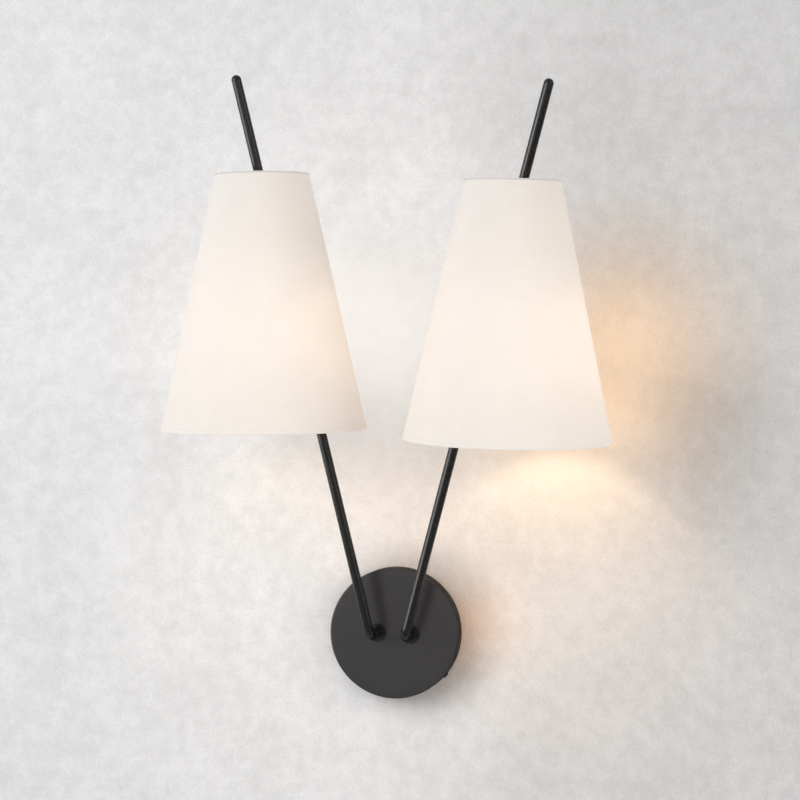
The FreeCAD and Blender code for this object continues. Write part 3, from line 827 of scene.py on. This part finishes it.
@dataclass(frozen=True)
class Shadow:
    """A soft round shadow on the wall.

    Attributes:
        across: Its middle, to the right of the object's axis.
        up: Its middle's height.
        inner: The radius inside which it is darkest.
        outer: The radius at which it ends.
        left: The share of the wall's colour that it leaves.
    """

    across: float
    up: float
    inner: float
    outer: float
    left: float


@dataclass(frozen=True)
class SoftLight:
    """A soft square light.

    Attributes:
        name: Its name.
        place: Where it hangs.
        target: What it points at.
        size: Its side.
        watts: Its power.
        colour: Its colour.
        shines: Whether it shows as a highlight on metal.
        lights: Whether it lights cloth and paint, and isn't a highlight alone.
    """

    name: str
    place: Spot
    target: Spot
    size: float
    watts: float
    colour: Colour
    shines: bool = True
    lights: bool = True

    def hang(self) -> None:
        """Hang the light."""
        data = bpy.data.lights.new(self.name, "AREA")
        data.size = self.size
        data.energy = self.watts
        data.color = self.colour
        light = bpy.data.objects.new(self.name, data)
        bpy.context.scene.collection.objects.link(light)
        light.visible_glossy = self.shines
        light.visible_diffuse = self.lights
        light.location = self.place
        light.rotation_euler = (Vector(self.target) - Vector(self.place)).to_track_quat("-Z", "Y").to_euler()


# Pools of light and soft shadows painted on the wall's glow and colour.
WALL_GLOWS = (
    Glow(-0.04, 0.30, 0.095, (0.405, 0.40, 0.39)),
    Glow(-0.33, 0.25, 0.12, (0.08, 0.08, 0.08)),
    Glow(-0.14, 0.0, 0.10, (0.07, 0.07, 0.07)),
    Glow(0.215, 0.292, 0.066, (0.40, 0.20, 0.04)),
    Glow(-0.22, 0.292, 0.07, (0.05, 0.026, 0.005)),
    Glow(0.088, 0.012, 0.030, (0.17, 0.06, 0.0)),
    Glow(-0.02, 0.125, 0.05, (0.15, 0.10, 0.08)),
)
WALL_SHADOWS = (Shadow(0.022, 0.002, 0.058, 0.104, 0.66), Shadow(0.30, 0.24, 0.0, 0.11, 0.86))
SOFT_LIGHTS = (
    SoftLight("window", (-2.2, -2.4, 1.2), (0.0, 0.0, 0.25), 1.9, 61.5, (0.97, 0.985, 1.0)),
    SoftLight("front_fill", (-0.3, -3.4, -0.1), (0.0, 0.0, 0.2), 2.6, 15.0, (1.0, 0.99, 0.97)),
    SoftLight("side_fill", (2.3, -1.7, 0.5), (0.0, 0.0, 0.3), 1.6, 12.0, (1.0, 0.93, 0.84)),
    SoftLight("flank_fill", (2.2, -0.6, 0.8), (0.0, -0.1, 0.3), 0.9, 17.0, (1.0, 0.95, 0.89), shines=False),
    SoftLight(
        "window_foot", (-2.3, -1.5, -0.35), (0.0, 0.0, 0.25), 2.4, 115.0, (0.97, 0.985, 1.0), lights=False
    ),
)


@dataclass(frozen=True)
class Plaster:
    """Painted plaster.

    Attributes:
        name: The material's name.
        colour: The paint's colour.
        darkest: The share of it that is left where the clouds are darkest.
        roughness: Its roughness.
        gloss: Its specular level.
        bump: How deep its texture is.
    """

    name: str
    colour: Colour
    darkest: float = 0.87
    roughness: float = 0.9
    gloss: float = 0.15
    bump: float = 0.0006

    def start(self) -> tuple[Material, Graph, Node, Socket]:
        """Start the finish.

        Returns:
            The material, its graph, its shader and its colour so far.
        """
        material, graph = Graph.start(self.name)
        where = graph.where()
        cloud = graph.plus(
            graph.noise(where, scale=9.0, detail=7.0, roughness=0.72),
            graph.noise(where, scale=60.0, detail=4.0, roughness=0.65),
        )
        base = graph.mix(
            graph.remap(cloud, low=0.72, high=1.28), rgba(self.colour, self.darkest), rgba(self.colour)
        )
        speckle = graph.noise(where, scale=620.0, detail=2.0, roughness=0.7)
        speckle = graph.remap(speckle, low=0.3, high=0.7, to_low=0.94, to_high=1.06)
        base = graph.mix(1.0, base, speckle, blend="MULTIPLY")
        texture = graph.noise(where, scale=240.0, detail=5.0, roughness=0.6)
        shader = graph.principled(
            Roughness=self.roughness, Specular_IOR_Level=self.gloss, Base_Color=base,
            Normal=graph.bump(texture, self.bump),
        )
        return material, graph, shader, base


@dataclass(frozen=True)
class Stage:
    """The wall, the floor, the lights and the camera.

    Attributes:
        wall_gap: How far the backdrop stands behind the object's rear face.
        wall_half: Half the backdrop's width.
        wall_top: The backdrop's top edge.
        floor_level: The floor's height.
        floor_size: The floor's side.
        camera_place: The camera's place.
        pan_deg: How far the camera is turned to the left.
        tilt_deg: How far it looks up.
        roll_deg: How far it is rolled.
        focal_px: Its focal length in pixels of the 800 pixel image.
        image_px: That image's width.
        sensor_mm: The camera's sensor width.
        wall: The wall's plaster.
        floor: The floor's plaster.
        fan_near: The colour of the light past a shade's mouth where it is brightest.
        fan_far: Its colour where it is faint.
        fan_gains: How strongly it shows on the left and on the right.
        fan_level: The height of its source in the lamp's own frame.
        fan_drift: How far outboard of the lamp its source is.
        fan_reach: The distance at which it is at full strength.
        fan_fall: How fast it falls off with distance.
        fan_soft: Where its soft edge starts and ends, as the sine of the angle below level.
        fan_sharp: Where its sharp edge starts and ends.
        fan_spread: How wide it is.
        painted_dim_edge: Where the painted shade that darkens the wall towards the right starts, and where it
            stops.
        painted_dim_share: How much that painted shade darkens it.
        room_front: The room's light from straight ahead of the wall, and what it has less from the sides.
        front_grey: The room's colour straight ahead of the wall.
        side_grey: Its colour at the sides.
    """

    wall_gap: float = 0.0002
    wall_half: float = 3.0
    wall_top: float = 2.4
    floor_level: float = -0.95
    floor_size: float = 16.0
    camera_place: Spot = (0.42622, -2.18444, 0.26805)
    pan_deg: float = 11.205
    tilt_deg: float = -0.926
    roll_deg: float = -2.07
    focal_px: float = 2219.6
    image_px: float = 800.0
    sensor_mm: float = 36.0
    wall: Plaster = Plaster("wall_paint", (0.755, 0.755, 0.765))
    floor: Plaster = Plaster("floor_paint", (0.70, 0.695, 0.685))
    fan_near: Colour = (1.0, 0.86, 0.64)
    fan_far: Colour = (1.0, 0.55, 0.22)
    fan_gains: tuple[float, float] = (0.03, 0.64)
    fan_level: float = -0.073
    fan_drift: float = 0.042
    fan_reach: float = 0.21
    fan_fall: float = 3.2
    fan_soft: tuple[float, float] = (0.45, 0.85)
    fan_sharp: tuple[float, float] = (0.745, 0.80)
    fan_spread: float = 0.14
    painted_dim_edge: tuple[float, float] = (-0.03, 0.20)
    painted_dim_share: float = 0.16
    room_front: tuple[float, float] = (0.28, 0.52)
    front_grey: Colour = (0.70, 0.70, 0.70)
    side_grey: Colour = (0.95, 0.955, 0.96)

    def fan_light(self, graph: Graph, where: Socket, hanging: "LampFrame", gain: float) -> Socket:
        """Work out how strongly one lamp lights the wall past its shade's mouth.

        The light's upper edge is the curve in which the cone under the mouth meets the wall.

        Args:
            graph: The wall's node tree.
            where: The wall's own coordinates.
            hanging: Where the lamp hangs.
            gain: How strongly it shows on this side.

        Returns:
            The light's share at each point.
        """
        outboard = Vector((hanging.side.sign * self.fan_drift, 0, 0))
        source = hanging.matrix() @ Vector((0, 0, self.fan_level)) + outboard
        from_bulb = graph.vector_math("SUBTRACT", where, source).outputs[0]
        length = graph.add("VectorMath", operation="LENGTH")
        graph.feed(length.inputs[0], from_bulb)
        distance = length.outputs["Value"]
        across, _, up = graph.split(from_bulb)
        down = graph.math("DIVIDE", graph.times(up, -1.0), distance)
        edges = graph.plus(graph.remap(down, *self.fan_soft), graph.remap(down, *self.fan_sharp))
        near = graph.math("POWER", graph.math("DIVIDE", self.fan_reach, distance), self.fan_fall)
        sideways = graph.math("POWER", across, 2.0)
        narrow = graph.math("EXPONENT", graph.math("DIVIDE", sideways, -2 * self.fan_spread**2))
        return graph.times(edges, near, narrow, gain / 2)

    @staticmethod
    def squared_distance(graph: Graph, parts: tuple, patch: Glow | Shadow) -> Socket:
        """Measure the squared distance of each point of the wall from a patch's middle.

        Args:
            graph: The wall's node tree.
            parts: The wall's own coordinates, taken apart.
            patch: The patch.

        Returns:
            The squared distance.
        """
        offsets = (graph.math("SUBTRACT", parts[0], patch.across), graph.math("SUBTRACT", parts[2], patch.up))
        return graph.plus(*(graph.math("POWER", offset, 2.0) for offset in offsets))

    def build_wall(self) -> None:
        """Stand a pale wall behind the object, with pools of lamp light, soft shadows and a darkening towards the
        right painted on it.
        """
        height = self.wall_top - self.floor_level
        start_fresh()
        bpy.ops.mesh.primitive_plane_add(size=1, location=(0, 0, 0))
        wall = named("backdrop")
        middle = Matrix.Translation((0, self.wall_gap, self.floor_level + height / 2))
        place(wall, middle @ FORWARD_TURN @ Matrix.Diagonal((2 * self.wall_half, height, 1, 1)))
        material, graph, shader, plaster = self.wall.start()
        where = graph.where()
        sides = zip(Side, self.fan_gains)
        fans = [self.fan_light(graph, where, LampFrame(side), gain) for side, gain in sides]
        fan = graph.math("ADD", *fans, clamp=True)
        light = graph.mix(fan, DARK, graph.mix(fan, rgba(self.fan_far), rgba(self.fan_near)))
        parts = graph.split(where)
        for glow in WALL_GLOWS:
            squared = self.squared_distance(graph, parts, glow)
            share = graph.math("EXPONENT", graph.math("DIVIDE", squared, -2 * glow.spread**2))
            light = graph.mix(1.0, light, graph.mix(share, DARK, rgba(glow.colour)), blend="ADD")
        # painted shade: the wall's colour is darkened towards the right and inside each soft round shadow
        painted_dim = graph.remap(parts[0], *self.painted_dim_edge, to_low=1.0, to_high=1.0 - self.painted_dim_share)
        for shadow in WALL_SHADOWS:
            away = graph.math("SQRT", self.squared_distance(graph, parts, shadow))
            painted_dim = graph.times(painted_dim, graph.remap(away, shadow.inner, shadow.outer, to_low=shadow.left))
        graph.fill(shader, {
            "Emission_Color": light, "Emission_Strength": 1.0, "Base_Color": graph.mix(painted_dim, DARK, plaster),
        })
        mixer = graph.add("MixShader")
        graph.feed(mixer.inputs[0], graph.add("NewGeometry").outputs["Backfacing"])
        graph.feed(mixer.inputs[1], shader.outputs[0])
        graph.feed(mixer.inputs[2], graph.add("BsdfTransparent").outputs[0])
        graph.show(mixer)
        wall.data.materials.append(material)

    def build_floor(self) -> None:
        """Lay a plain pale floor well below the object."""
        start_fresh()
        bpy.ops.mesh.primitive_plane_add(size=self.floor_size, location=(0, 0, 0))
        floor = named("floor")
        place(floor, Matrix.Translation((0, 0, self.floor_level)))
        material, graph, shader, _ = self.floor.start()
        graph.show(shader)
        floor.data.materials.append(material)

    def build_room(self) -> None:
        """Set the room's own light, brighter in front of the wall than at its sides."""
        world = bpy.data.worlds.new("room")
        bpy.context.scene.world = world
        world.use_nodes = True
        graph = Graph(world.node_tree)
        path = graph.add("LightPath").outputs
        seen = graph.math("ADD", path["Is Camera Ray"], path["Is Transmission Ray"], clamp=True)
        seen = graph.math("ADD", seen, path["Is Glossy Ray"], clamp=True)
        depth = graph.split(graph.add("TexCoord").outputs["Generated"])[1]
        ahead = graph.remap(graph.times(depth, -1.0), low=0.35, high=1.0)
        least, more = self.room_front
        room = graph.plus(graph.times(ahead, more), least)
        strength = graph.plus(graph.times(seen, graph.math("SUBTRACT", 1.0, room)), room)
        background = graph.fill(graph.add("Background"), {
            "Color": graph.mix(ahead, rgba(self.side_grey), rgba(self.front_grey)), "Strength": strength,
        })
        graph.feed(graph.add("OutputWorld").inputs[0], background.outputs[0])

    def build_camera(self) -> None:
        """Stand the camera where the photograph was taken from."""
        data = bpy.data.cameras.new("camera")
        data.sensor_width = self.sensor_mm
        data.lens = self.focal_px * self.sensor_mm / self.image_px
        data.clip_start = 0.05
        data.clip_end = 50.0
        camera = bpy.data.objects.new("camera", data)
        bpy.context.scene.collection.objects.link(camera)
        turn = Matrix.Identity(4)
        for angle, axis in ((self.pan_deg, "Z"), (self.tilt_deg, "X"), (self.roll_deg, "Y")):
            turn = turn @ Matrix.Rotation(math.radians(angle), 4, axis)
        camera.matrix_world = Matrix.Translation(self.camera_place) @ turn @ FORWARD_TURN
        bpy.context.scene.camera = camera

    def build(self) -> None:
        """Build the whole stage."""
        self.build_camera()
        self.build_wall()
        self.build_floor()
        for light in SOFT_LIGHTS:
            light.hang()
        self.build_room()
        bpy.context.scene.view_settings.view_transform = "Standard"
        LOG.info("stage ready")


# ---------------------------------------------------------------- the object
@dataclass(frozen=True)
class Canopy:
    """The round canopy and what it hides.

    Attributes:
        radius: Its outside radius.
        depth: How far it stands out.
        wall: Its sheet's thickness.
        edge: The radius of its front edge.
        arm_spacing: The distance between the arms.
        arm_hole: The radius of an arm's hole.
    """

    radius: float = 65.0 * MM
    depth: float = 21.0 * MM
    wall: float = 1.6 * MM
    edge: float = 1.2 * MM
    arm_spacing: float = 34.0 * MM
    arm_hole: float = 4.8 * MM

    def outline(self) -> list:
        """Draw the cup's half section, with a small rolled lip at the wall."""
        inner = self.radius - self.wall
        lip = self.wall / 3
        points = [(inner, 0), *arc((self.radius - lip, lip), lip, -90, 0, 4)]
        points += arc((self.radius - self.edge, self.depth - self.edge), self.edge, 0, 90, 8)
        points += [(self.radius * share, self.depth) for share in (0.8, 0.55, 0.3)]
        points += [(0, self.depth), (0, self.depth - self.wall)]
        corner = self.wall
        points += arc((inner - corner, self.depth - self.wall - corner), corner, 90, 0, 4)
        return points

    def build(self, coat: Material) -> None:
        """Spin the cup and bore the arm holes."""
        cup = turned("canopy_shell", self.outline(), steps=160)
        for side in Side:
            middle = Vector((side.sign * self.arm_spacing / 2, 0, self.depth))
            bore(cup, middle, Vector((0, 0, 1)), self.arm_hole, 4 * self.wall)
        place(cup, FORWARD_TURN)
        smooth(cup, 40)
        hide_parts("canopy")
        finish_piece(cup, WALL_BODY, coat)


@dataclass(frozen=True)
class Arm:
    """One bent arm with its collar and its tip.

    Attributes:
        side: Which arm it is.
        canopy: The canopy that it comes out of.
        stub: How far the bend's corner stands in front of the canopy.
        tail: How much of the tube lies behind the canopy's face.
        bend: The bend's radius.
        length: The long run, from the corner to the tip's top.
        splay_deg: How far the long run leans outboard.
        forward_deg: How far it leans into the room.
        radius: The tube's radius.
        wall: The tube's wall.
        collar_radius: The collar's outside radius.
        collar_foot: How thick its foot is.
        neck_radius: The outside radius of its neck.
        collar_length: How far it stands out of the canopy.
        rim: How wide the raised rim on its foot is.
        groove: How deep the groove inside the rim is.
        collar_gap: How far the collar stands clear of the tube.
        joint: The size of the fine joint line under the tip.
    """

    side: Side
    canopy: Canopy
    stub: float = 33.6 * MM
    tail: float = 10.0 * MM
    bend: float = 13.0 * MM
    length: float = 560.0 * MM
    splay_deg: float = 14.0
    forward_deg: float = 8.6
    radius: float = 4.75 * MM
    wall: float = 1.2 * MM
    collar_radius: float = 9.0 * MM
    collar_foot: float = 2.4 * MM
    neck_radius: float = 6.5 * MM
    collar_length: float = 5.2 * MM
    rim: float = 1.3 * MM
    groove: float = 0.9 * MM
    collar_gap: float = 0.05 * MM
    joint: float = 0.25 * MM

    def corner(self) -> Vector:
        """Find where the stub's axis would meet the long run's."""
        return Vector((self.side.sign * self.canopy.arm_spacing / 2, -self.canopy.depth - self.stub, 0))

    def direction(self) -> Vector:
        """Find which way the long run leans."""
        out = self.side.sign * math.tan(math.radians(self.splay_deg))
        return Vector((out, -math.tan(math.radians(self.forward_deg)), 1)).normalized()

    def on_rod(self, along: float) -> Vector:
        """Find a point on the long run's axis."""
        return self.corner() + self.direction() * along

    def build_tube(self, coat: Material) -> None:
        """Bend the tube and give it its wall."""
        corner = self.corner()
        start = Vector((corner.x, -(self.canopy.depth - self.canopy.wall - self.tail), 0))
        end = self.on_rod(self.length - self.radius)
        tube = bent_rod(self.side.node("arm_tube"), start, corner, end, self.bend, self.radius, sides=64)
        apply_modifier(tube, "SOLIDIFY", thickness=self.wall, offset=-1.0)
        smooth(tube, 50)
        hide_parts(self.side.node("arm"))
        finish_piece(tube, WALL_BODY, coat)

    def build_tip(self, coat: Material) -> None:
        """Turn the domed tip, with the fine joint line under it."""
        spigot = self.radius - self.wall
        foot = -4 * self.joint
        points = [(0, foot), (spigot, foot), (spigot, 0), (self.radius - self.joint, 0)]
        points += [(self.radius, self.joint), *arc((0, self.joint), self.radius, 0, 90, 16)[1:]]
        points[-1] = (0, self.radius)
        tip = turned(self.side.node("tip_dome"), points, steps=64)
        lean = self.direction().to_track_quat("Z", "Y").to_matrix().to_4x4()
        place(tip, Matrix.Translation(self.on_rod(self.length - self.radius)) @ lean)
        smooth(tip, 40)
        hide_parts(self.side.node("rod_tip"))
        finish_piece(tip, WALL_BODY, coat)

    def build_collar(self, coat: Material) -> None:
        """Turn the collar: a foot with a raised rim, a groove and a neck."""
        hole = self.radius + self.collar_gap
        soft = self.rim / 2.6
        floor = self.collar_foot - self.groove
        inner_rim = self.collar_radius - self.rim
        points = [(hole, 0), (self.collar_radius, 0)]
        points += arc((self.collar_radius - soft, self.collar_foot - soft), soft, 0, 90, 5)
        points += arc((inner_rim + soft / 2, self.collar_foot - soft / 2), soft / 2, 90, 180, 3)
        points += [(inner_rim, floor), (self.neck_radius, floor)]
        points += arc((self.neck_radius - soft, self.collar_length - soft), soft, 0, 90, 5)
        points += [(hole + soft, self.collar_length), (hole, self.collar_length - soft)]
        ring = turned(self.side.node("collar_ring"), points, steps=96)
        seat = Vector((self.corner().x, -self.canopy.depth, 0))
        place(ring, Matrix.Translation(seat) @ FORWARD_TURN)
        smooth(ring, 40)
        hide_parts(self.side.node("collar"))
        finish_piece(ring, WALL_BODY, coat)

    def build(self, coat: Material) -> None:
        """Build the whole arm."""
        self.build_tube(coat)
        self.build_tip(coat)
        self.build_collar(coat)


@dataclass(frozen=True)
class LampFrame:
    """Where one lamp hangs, as its two joints say.

    Attributes:
        side: Which lamp it is.
    """

    side: Side

    def joint(self, name: str) -> dict:
        """Find one of the lamp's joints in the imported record."""
        return next(joint for joint in frame["joints"] if joint["name"] == name)

    def matrix(self) -> Matrix:
        """Work out the lamp's own frame: its axis is Z and the pivot's height is zero."""
        lean = self.joint(f"{self.side.value}_lamp_lean")
        turn = self.joint(f"{self.side.value}_shade_turn")
        up = Vector(turn["axis"]).normalized()
        back = -Vector(lean["axis"]).normalized()
        across = back.cross(up).normalized()
        on_axis = Vector(turn["pos_m"])
        origin = on_axis - up * (on_axis - Vector(lean["pos_m"])).dot(up)
        axes = Matrix((across, back, up)).transposed()
        return Matrix.Translation(origin) @ axes.to_4x4()


@dataclass(frozen=True)
class Lamp:
    """One lampholder with its bulb.

    Attributes:
        frame: Where the lamp hangs.
        mouth: The lampholder's mouth, where the bulb goes in.
        bulb_radius: The envelope's widest radius.
        bulb_length: How far it stands out of the mouth.
        bulb_neck: The radius of its neck.
        bulb_neck_length: How long its neck is.
        bulb_drop: How far its widest place lies under the mouth.
        bulb_tip: The radius of its tip.
        glow_drop: How far the shade's brightest place lies under that.
        soft_edge: The width of its rounded edges.
    """

    frame: LampFrame
    mouth: float = -58.5 * MM
    bulb_radius: float = 17.5 * MM
    bulb_length: float = 76.0 * MM
    bulb_neck: float = 7.0 * MM
    bulb_neck_length: float = 5.0 * MM
    bulb_drop: float = 30.0 * MM
    bulb_tip: float = 4.0 * MM
    glow_drop: float = 36.0 * MM
    soft_edge: float = 1.2 * MM

    def glow_level(self) -> float:
        """Give the height at which the shade glows most, a little below the bulb's belly."""
        return self.mouth - self.bulb_drop - self.glow_drop

    def build(self, glass: Material) -> None:
        """Turn the envelope: neck, shoulder, belly, taper and tip, all tangent."""
        belly = self.mouth - self.bulb_drop
        tip = self.mouth - self.bulb_length + self.bulb_tip
        rise = self.mouth - self.bulb_neck_length - belly
        to_neck = math.atan2(rise, self.bulb_neck)
        shoulder = math.degrees(to_neck - math.acos(self.bulb_radius / math.hypot(self.bulb_neck, rise)))
        taper = -math.degrees(math.asin((self.bulb_radius - self.bulb_tip) / (belly - tip)))
        points = [(0, self.mouth), (self.bulb_neck, self.mouth)]
        points += [(self.bulb_neck, self.mouth - self.bulb_neck_length)]
        points += arc((0, belly), self.bulb_radius, shoulder, taper, 24)
        points += arc((0, tip), self.bulb_tip, taper, -90, 10)
        points[-1] = (0, tip - self.bulb_tip)
        bulb = turned(self.frame.side.node("bulb_envelope"), points, steps=72)
        apply_modifier(
            bulb, "BEVEL", width=self.soft_edge, segments=3, limit_method="ANGLE",
            angle_limit=math.radians(20),
        )
        place(bulb, self.frame.matrix())
        smooth(bulb, 60)
        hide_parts(self.frame.side.node("bulb_glass"))
        finish_piece(bulb, self.frame.side.node("lamp"), glass)


@dataclass(frozen=True)
class Shade:
    """One tapered shade: linen on a stiff liner, with rolled hems.

    Attributes:
        frame: Where its lamp hangs.
        top_radius: The linen's outside radius at the top edge.
        bottom_radius: The linen's outside radius at the bottom edge.
        top: The top edge's height.
        height: The shade's height.
        linen: The linen's thickness.
        pressed: The share of that thickness that is left where it is stretched over the liner.
        liner: The liner's thickness.
        liner_gap: How far the liner's outer face lies inside the linen's.
        liner_inset: How far the liner's edges lie inside the shade's.
        lap: How far the linen's ends overlap at the back.
        lap_rise: How far the upper end stands out there.
        lap_ease: Over what angle it climbs.
        press: Over what height the hems press it flat.
        ripple: How far the linen swells and sinks round the shade.
        waves: How often it swells round the shade.
        phase: The angle at which the first swell starts.
        top_hem: How far the top hem reaches over the linen outside.
        bottom_hem: How far the bottom hem does.
        hem_proud: How far the bottom hem stands out from the linen. The top hem does by a third of it.
        bottom_corner: The radius at which the bottom hem turns over the edge.
        top_corner: The radius at which the top hem does.
        ring_radius: The radius of the wire in each hem.
        columns: How many faces of linen go round.
        rows: How many go up.
    """

    frame: LampFrame
    top_radius: float = 45.1 * MM
    bottom_radius: float = 98.4 * MM
    top: float = 30.0 * MM
    height: float = 244.0 * MM
    linen: float = 0.4 * MM
    pressed: float = 0.95
    liner: float = 0.4 * MM
    liner_gap: float = 0.88 * MM
    liner_inset: float = 0.4 * MM
    lap: float = 12.0 * MM
    lap_rise: float = 0.36 * MM
    lap_ease: float = 0.06
    press: float = 8.0 * MM
    ripple: float = 0.1 * MM
    waves: int = 3
    phase: float = 0.7
    top_hem: float = 1.6 * MM
    bottom_hem: float = 4.4 * MM
    hem_proud: float = 0.35 * MM
    bottom_corner: float = 0.8 * MM
    top_corner: float = 0.3 * MM
    ring_radius: float = 1.3 * MM
    columns: int = 224
    rows: int = 44

    @property
    def bottom(self) -> float:
        """The bottom edge's height."""
        return self.top - self.height

    @property
    def taper(self) -> float:
        """How much the radius grows for each metre down."""
        return (self.bottom_radius - self.top_radius) / self.height

    @property
    def unrolled(self) -> float:
        """The share of an angle round the shade that is left when the cloth is laid out flat."""
        return self.taper / math.hypot(1.0, self.taper)

    @property
    def half_turn(self) -> float:
        """Half the angle that the lapped linen goes round."""
        return math.pi + self.lap / (self.top_radius + self.bottom_radius)

    def radius_at(self, height: float) -> float:
        """Give the linen's outside radius at a height."""
        return self.top_radius + (self.top - height) * self.taper

    def flat_point(self, angle: float, height: float) -> tuple[float, float]:
        """Lay a point of the cone out flat, as the cloth was cut.

        Args:
            angle: The angle round the shade from its front.
            height: The point's height.

        Returns:
            The point's place on the flat cloth, with the threads along the two axes.
        """
        reach = self.radius_at(height) / self.unrolled
        return reach * math.sin(angle * self.unrolled), -reach * math.cos(angle * self.unrolled)

    def rolled_sheet(self, name: str) -> Piece:
        """Roll a flat blank into the cone, its ends lapped at the back.

        Args:
            name: The piece's name.

        Returns:
            The sheet without thickness, in the lamp's own frame.
        """
        start_fresh()
        bpy.ops.mesh.primitive_grid_add(
            x_subdivisions=self.columns, y_subdivisions=self.rows, size=2, location=(0, 0, 0)
        )
        sheet = named(name)
        mesh = sheet.data
        flat = mesh.uv_layers[0]
        flat.name = "flat_cloth"
        places = [
            (vertex.co.x * self.half_turn, self.top + (vertex.co.y - 1) / 2 * self.height)
            for vertex in mesh.vertices
        ]
        for loop in mesh.loops:
            flat.data[loop.index].uv = self.flat_point(*places[loop.vertex_index])
        lap_start = 2 * math.pi - self.half_turn - self.lap_ease
        for vertex, (angle, height) in zip(mesh.vertices, places):
            down = self.top - height
            lapped = min(max((angle - lap_start) / self.lap_ease, 0.0), 1.0)
            lapped *= min(down / self.press, (height - self.bottom) / self.press, 1.0)
            swell = math.sin(self.waves * angle + self.phase) * math.sin(math.pi * down / self.height)
            radius = self.radius_at(height) + self.ripple * swell + self.lap_rise * lapped
            vertex.co = (radius * math.sin(angle), -radius * math.cos(angle), height)
        mesh.update()
        turn_outwards(sheet)
        return sheet

    def build_linen(self, cloth: Material) -> Piece:
        """Make the outer cover from one lapped piece of linen."""
        cover = self.rolled_sheet(self.frame.side.node("linen_cover"))
        apply_modifier(cover, "SOLIDIFY", thickness=self.linen * self.pressed, offset=-1.0)
        place(cover, self.frame.matrix())
        smooth(cover, 50)
        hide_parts(self.frame.side.node("shade_cover"))
        finish_piece(cover, self.frame.side.node("shade"), cloth)
        return cover

    def build_liner(self, sheet: Material) -> Piece:
        """Make the stiff white liner inside the linen."""
        low = self.bottom + self.liner_inset
        high = self.top - self.liner_inset
        outer = -self.liner_gap
        inner = outer - self.liner
        corners = ((low, inner), (low, outer), (high, outer), (high, inner))
        points = [(self.radius_at(height) + offset, height) for height, offset in corners]
        liner = turned(self.frame.side.node("liner"), points, steps=128)
        place(liner, self.frame.matrix())
        smooth(liner, 50)
        finish_piece(liner, self.frame.side.node("shade"), sheet)
        return liner

    def hem_outline(self, edge: float, inward: int, width: float, proud: float, corner: float) -> list:
        """Draw a rolled hem's half section: it wraps the edge and the wire ring inside it.

        Args:
            edge: The height of the shade's edge.
            inward: Which way the shade lies from that edge, one for up.
            width: How far the hem reaches over the linen outside.
            proud: How far it stands out from the linen.
            corner: The radius at which it turns over the edge.

        Returns:
            The closed outline.
        """
        wire = self.ring_radius
        ring = edge + inward * 2 * wire
        middle = self.radius_at(ring) - 2 * self.linen - wire
        lip = wire + proud
        # outside, from the linen to the edge, as shares of the width and of how far the hem stands out
        points = []
        for reach, out in ((1.0, 0.0), (0.93, 0.8), (0.5, 1.1)):
            height = edge + inward * width * reach
            points.append((self.radius_at(height) + proud * out, height))
        over = (self.radius_at(edge) + proud - corner, edge + inward * corner)
        points += [
            (radius, 2 * over[1] - height if inward < 0 else height)
            for radius, height in arc(over, corner, 0, -90, 4)
        ]
        # under and round the wire, as shares of the wire's radius
        points += [(middle, edge), (middle - 0.8 * wire, edge + inward * 0.5 * wire)]
        points += [(middle - lip, ring), (middle - 0.7 * wire, ring + inward * lip)]
        # back to the liner and up behind the linen
        backing = -self.liner_gap - self.liner
        for reach, depth in ((2.2, backing - 0.3 * MM), (2.4, -self.liner_gap)):
            height = ring + inward * lip * reach
            points.append((self.radius_at(height) + depth, height))
        return points

    def build_hem(self, name: str, outline: list, cloth: Material) -> Piece:
        """Turn one hem."""
        hem = turned(self.frame.side.node(name), outline, steps=160)
        layer = hem.data.uv_layers.new(name="flat_cloth")
        for loop in hem.data.loops:
            spot = hem.data.vertices[loop.vertex_index].co
            layer.data[loop.index].uv = self.flat_point(math.atan2(spot.x, -spot.y), spot.z)
        place(hem, self.frame.matrix())
        smooth(hem, 60)
        finish_piece(hem, self.frame.side.node("shade"), cloth)
        return hem

    def build(self, linen: Material, liner: Material, hem: Material, top_hem: Material) -> None:
        """Build the shade: its linen cover, its liner and its two hems."""
        cover = self.build_linen(linen)
        backing = self.build_liner(liner)
        low_outline = self.hem_outline(self.bottom, 1, self.bottom_hem, self.hem_proud, self.bottom_corner)
        high_outline = self.hem_outline(self.top, -1, self.top_hem, self.hem_proud / 3, self.top_corner)
        low = self.build_hem("bottom_hem", low_outline, hem)
        high = self.build_hem("top_hem", high_outline, top_hem)


def dress_nodes(coats: dict[Slot, Material]) -> None:
    """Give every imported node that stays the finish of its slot."""
    for entry in frame["record"]["subparts"]:
        slot = Slot(entry["material_slot"])
        if slot in coats:
            dress(entry["node"], coats[slot])


def main() -> None:
    """Build the stage, the finishes and every piece."""
    logging.basicConfig(level=logging.INFO, format="%(message)s")
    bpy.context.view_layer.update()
    effects = Effects()
    coats = {slot: coat.build(effects) for slot, coat in COATS.items()}
    glass = Opal().build()
    Stage().build()
    dress_nodes(coats)
    canopy = Canopy()
    canopy.build(coats[Slot.BLACK_METAL])
    rod_coat = ROD_COAT.build(effects)
    for side in Side:
        Arm(side, canopy).build(rod_coat)
        hanging = LampFrame(side)
        lamp = Lamp(hanging)
        lamp.build(glass)
        around = (hanging.matrix(), lamp.glow_level(), side)
        cloths = [cloth.build(effects, *around) for cloth in (LINEN, LINER, HEM, SHADED_TOP_HEM)]
        Shade(hanging).build(*cloths)


if __name__ == "__main__":
    main()
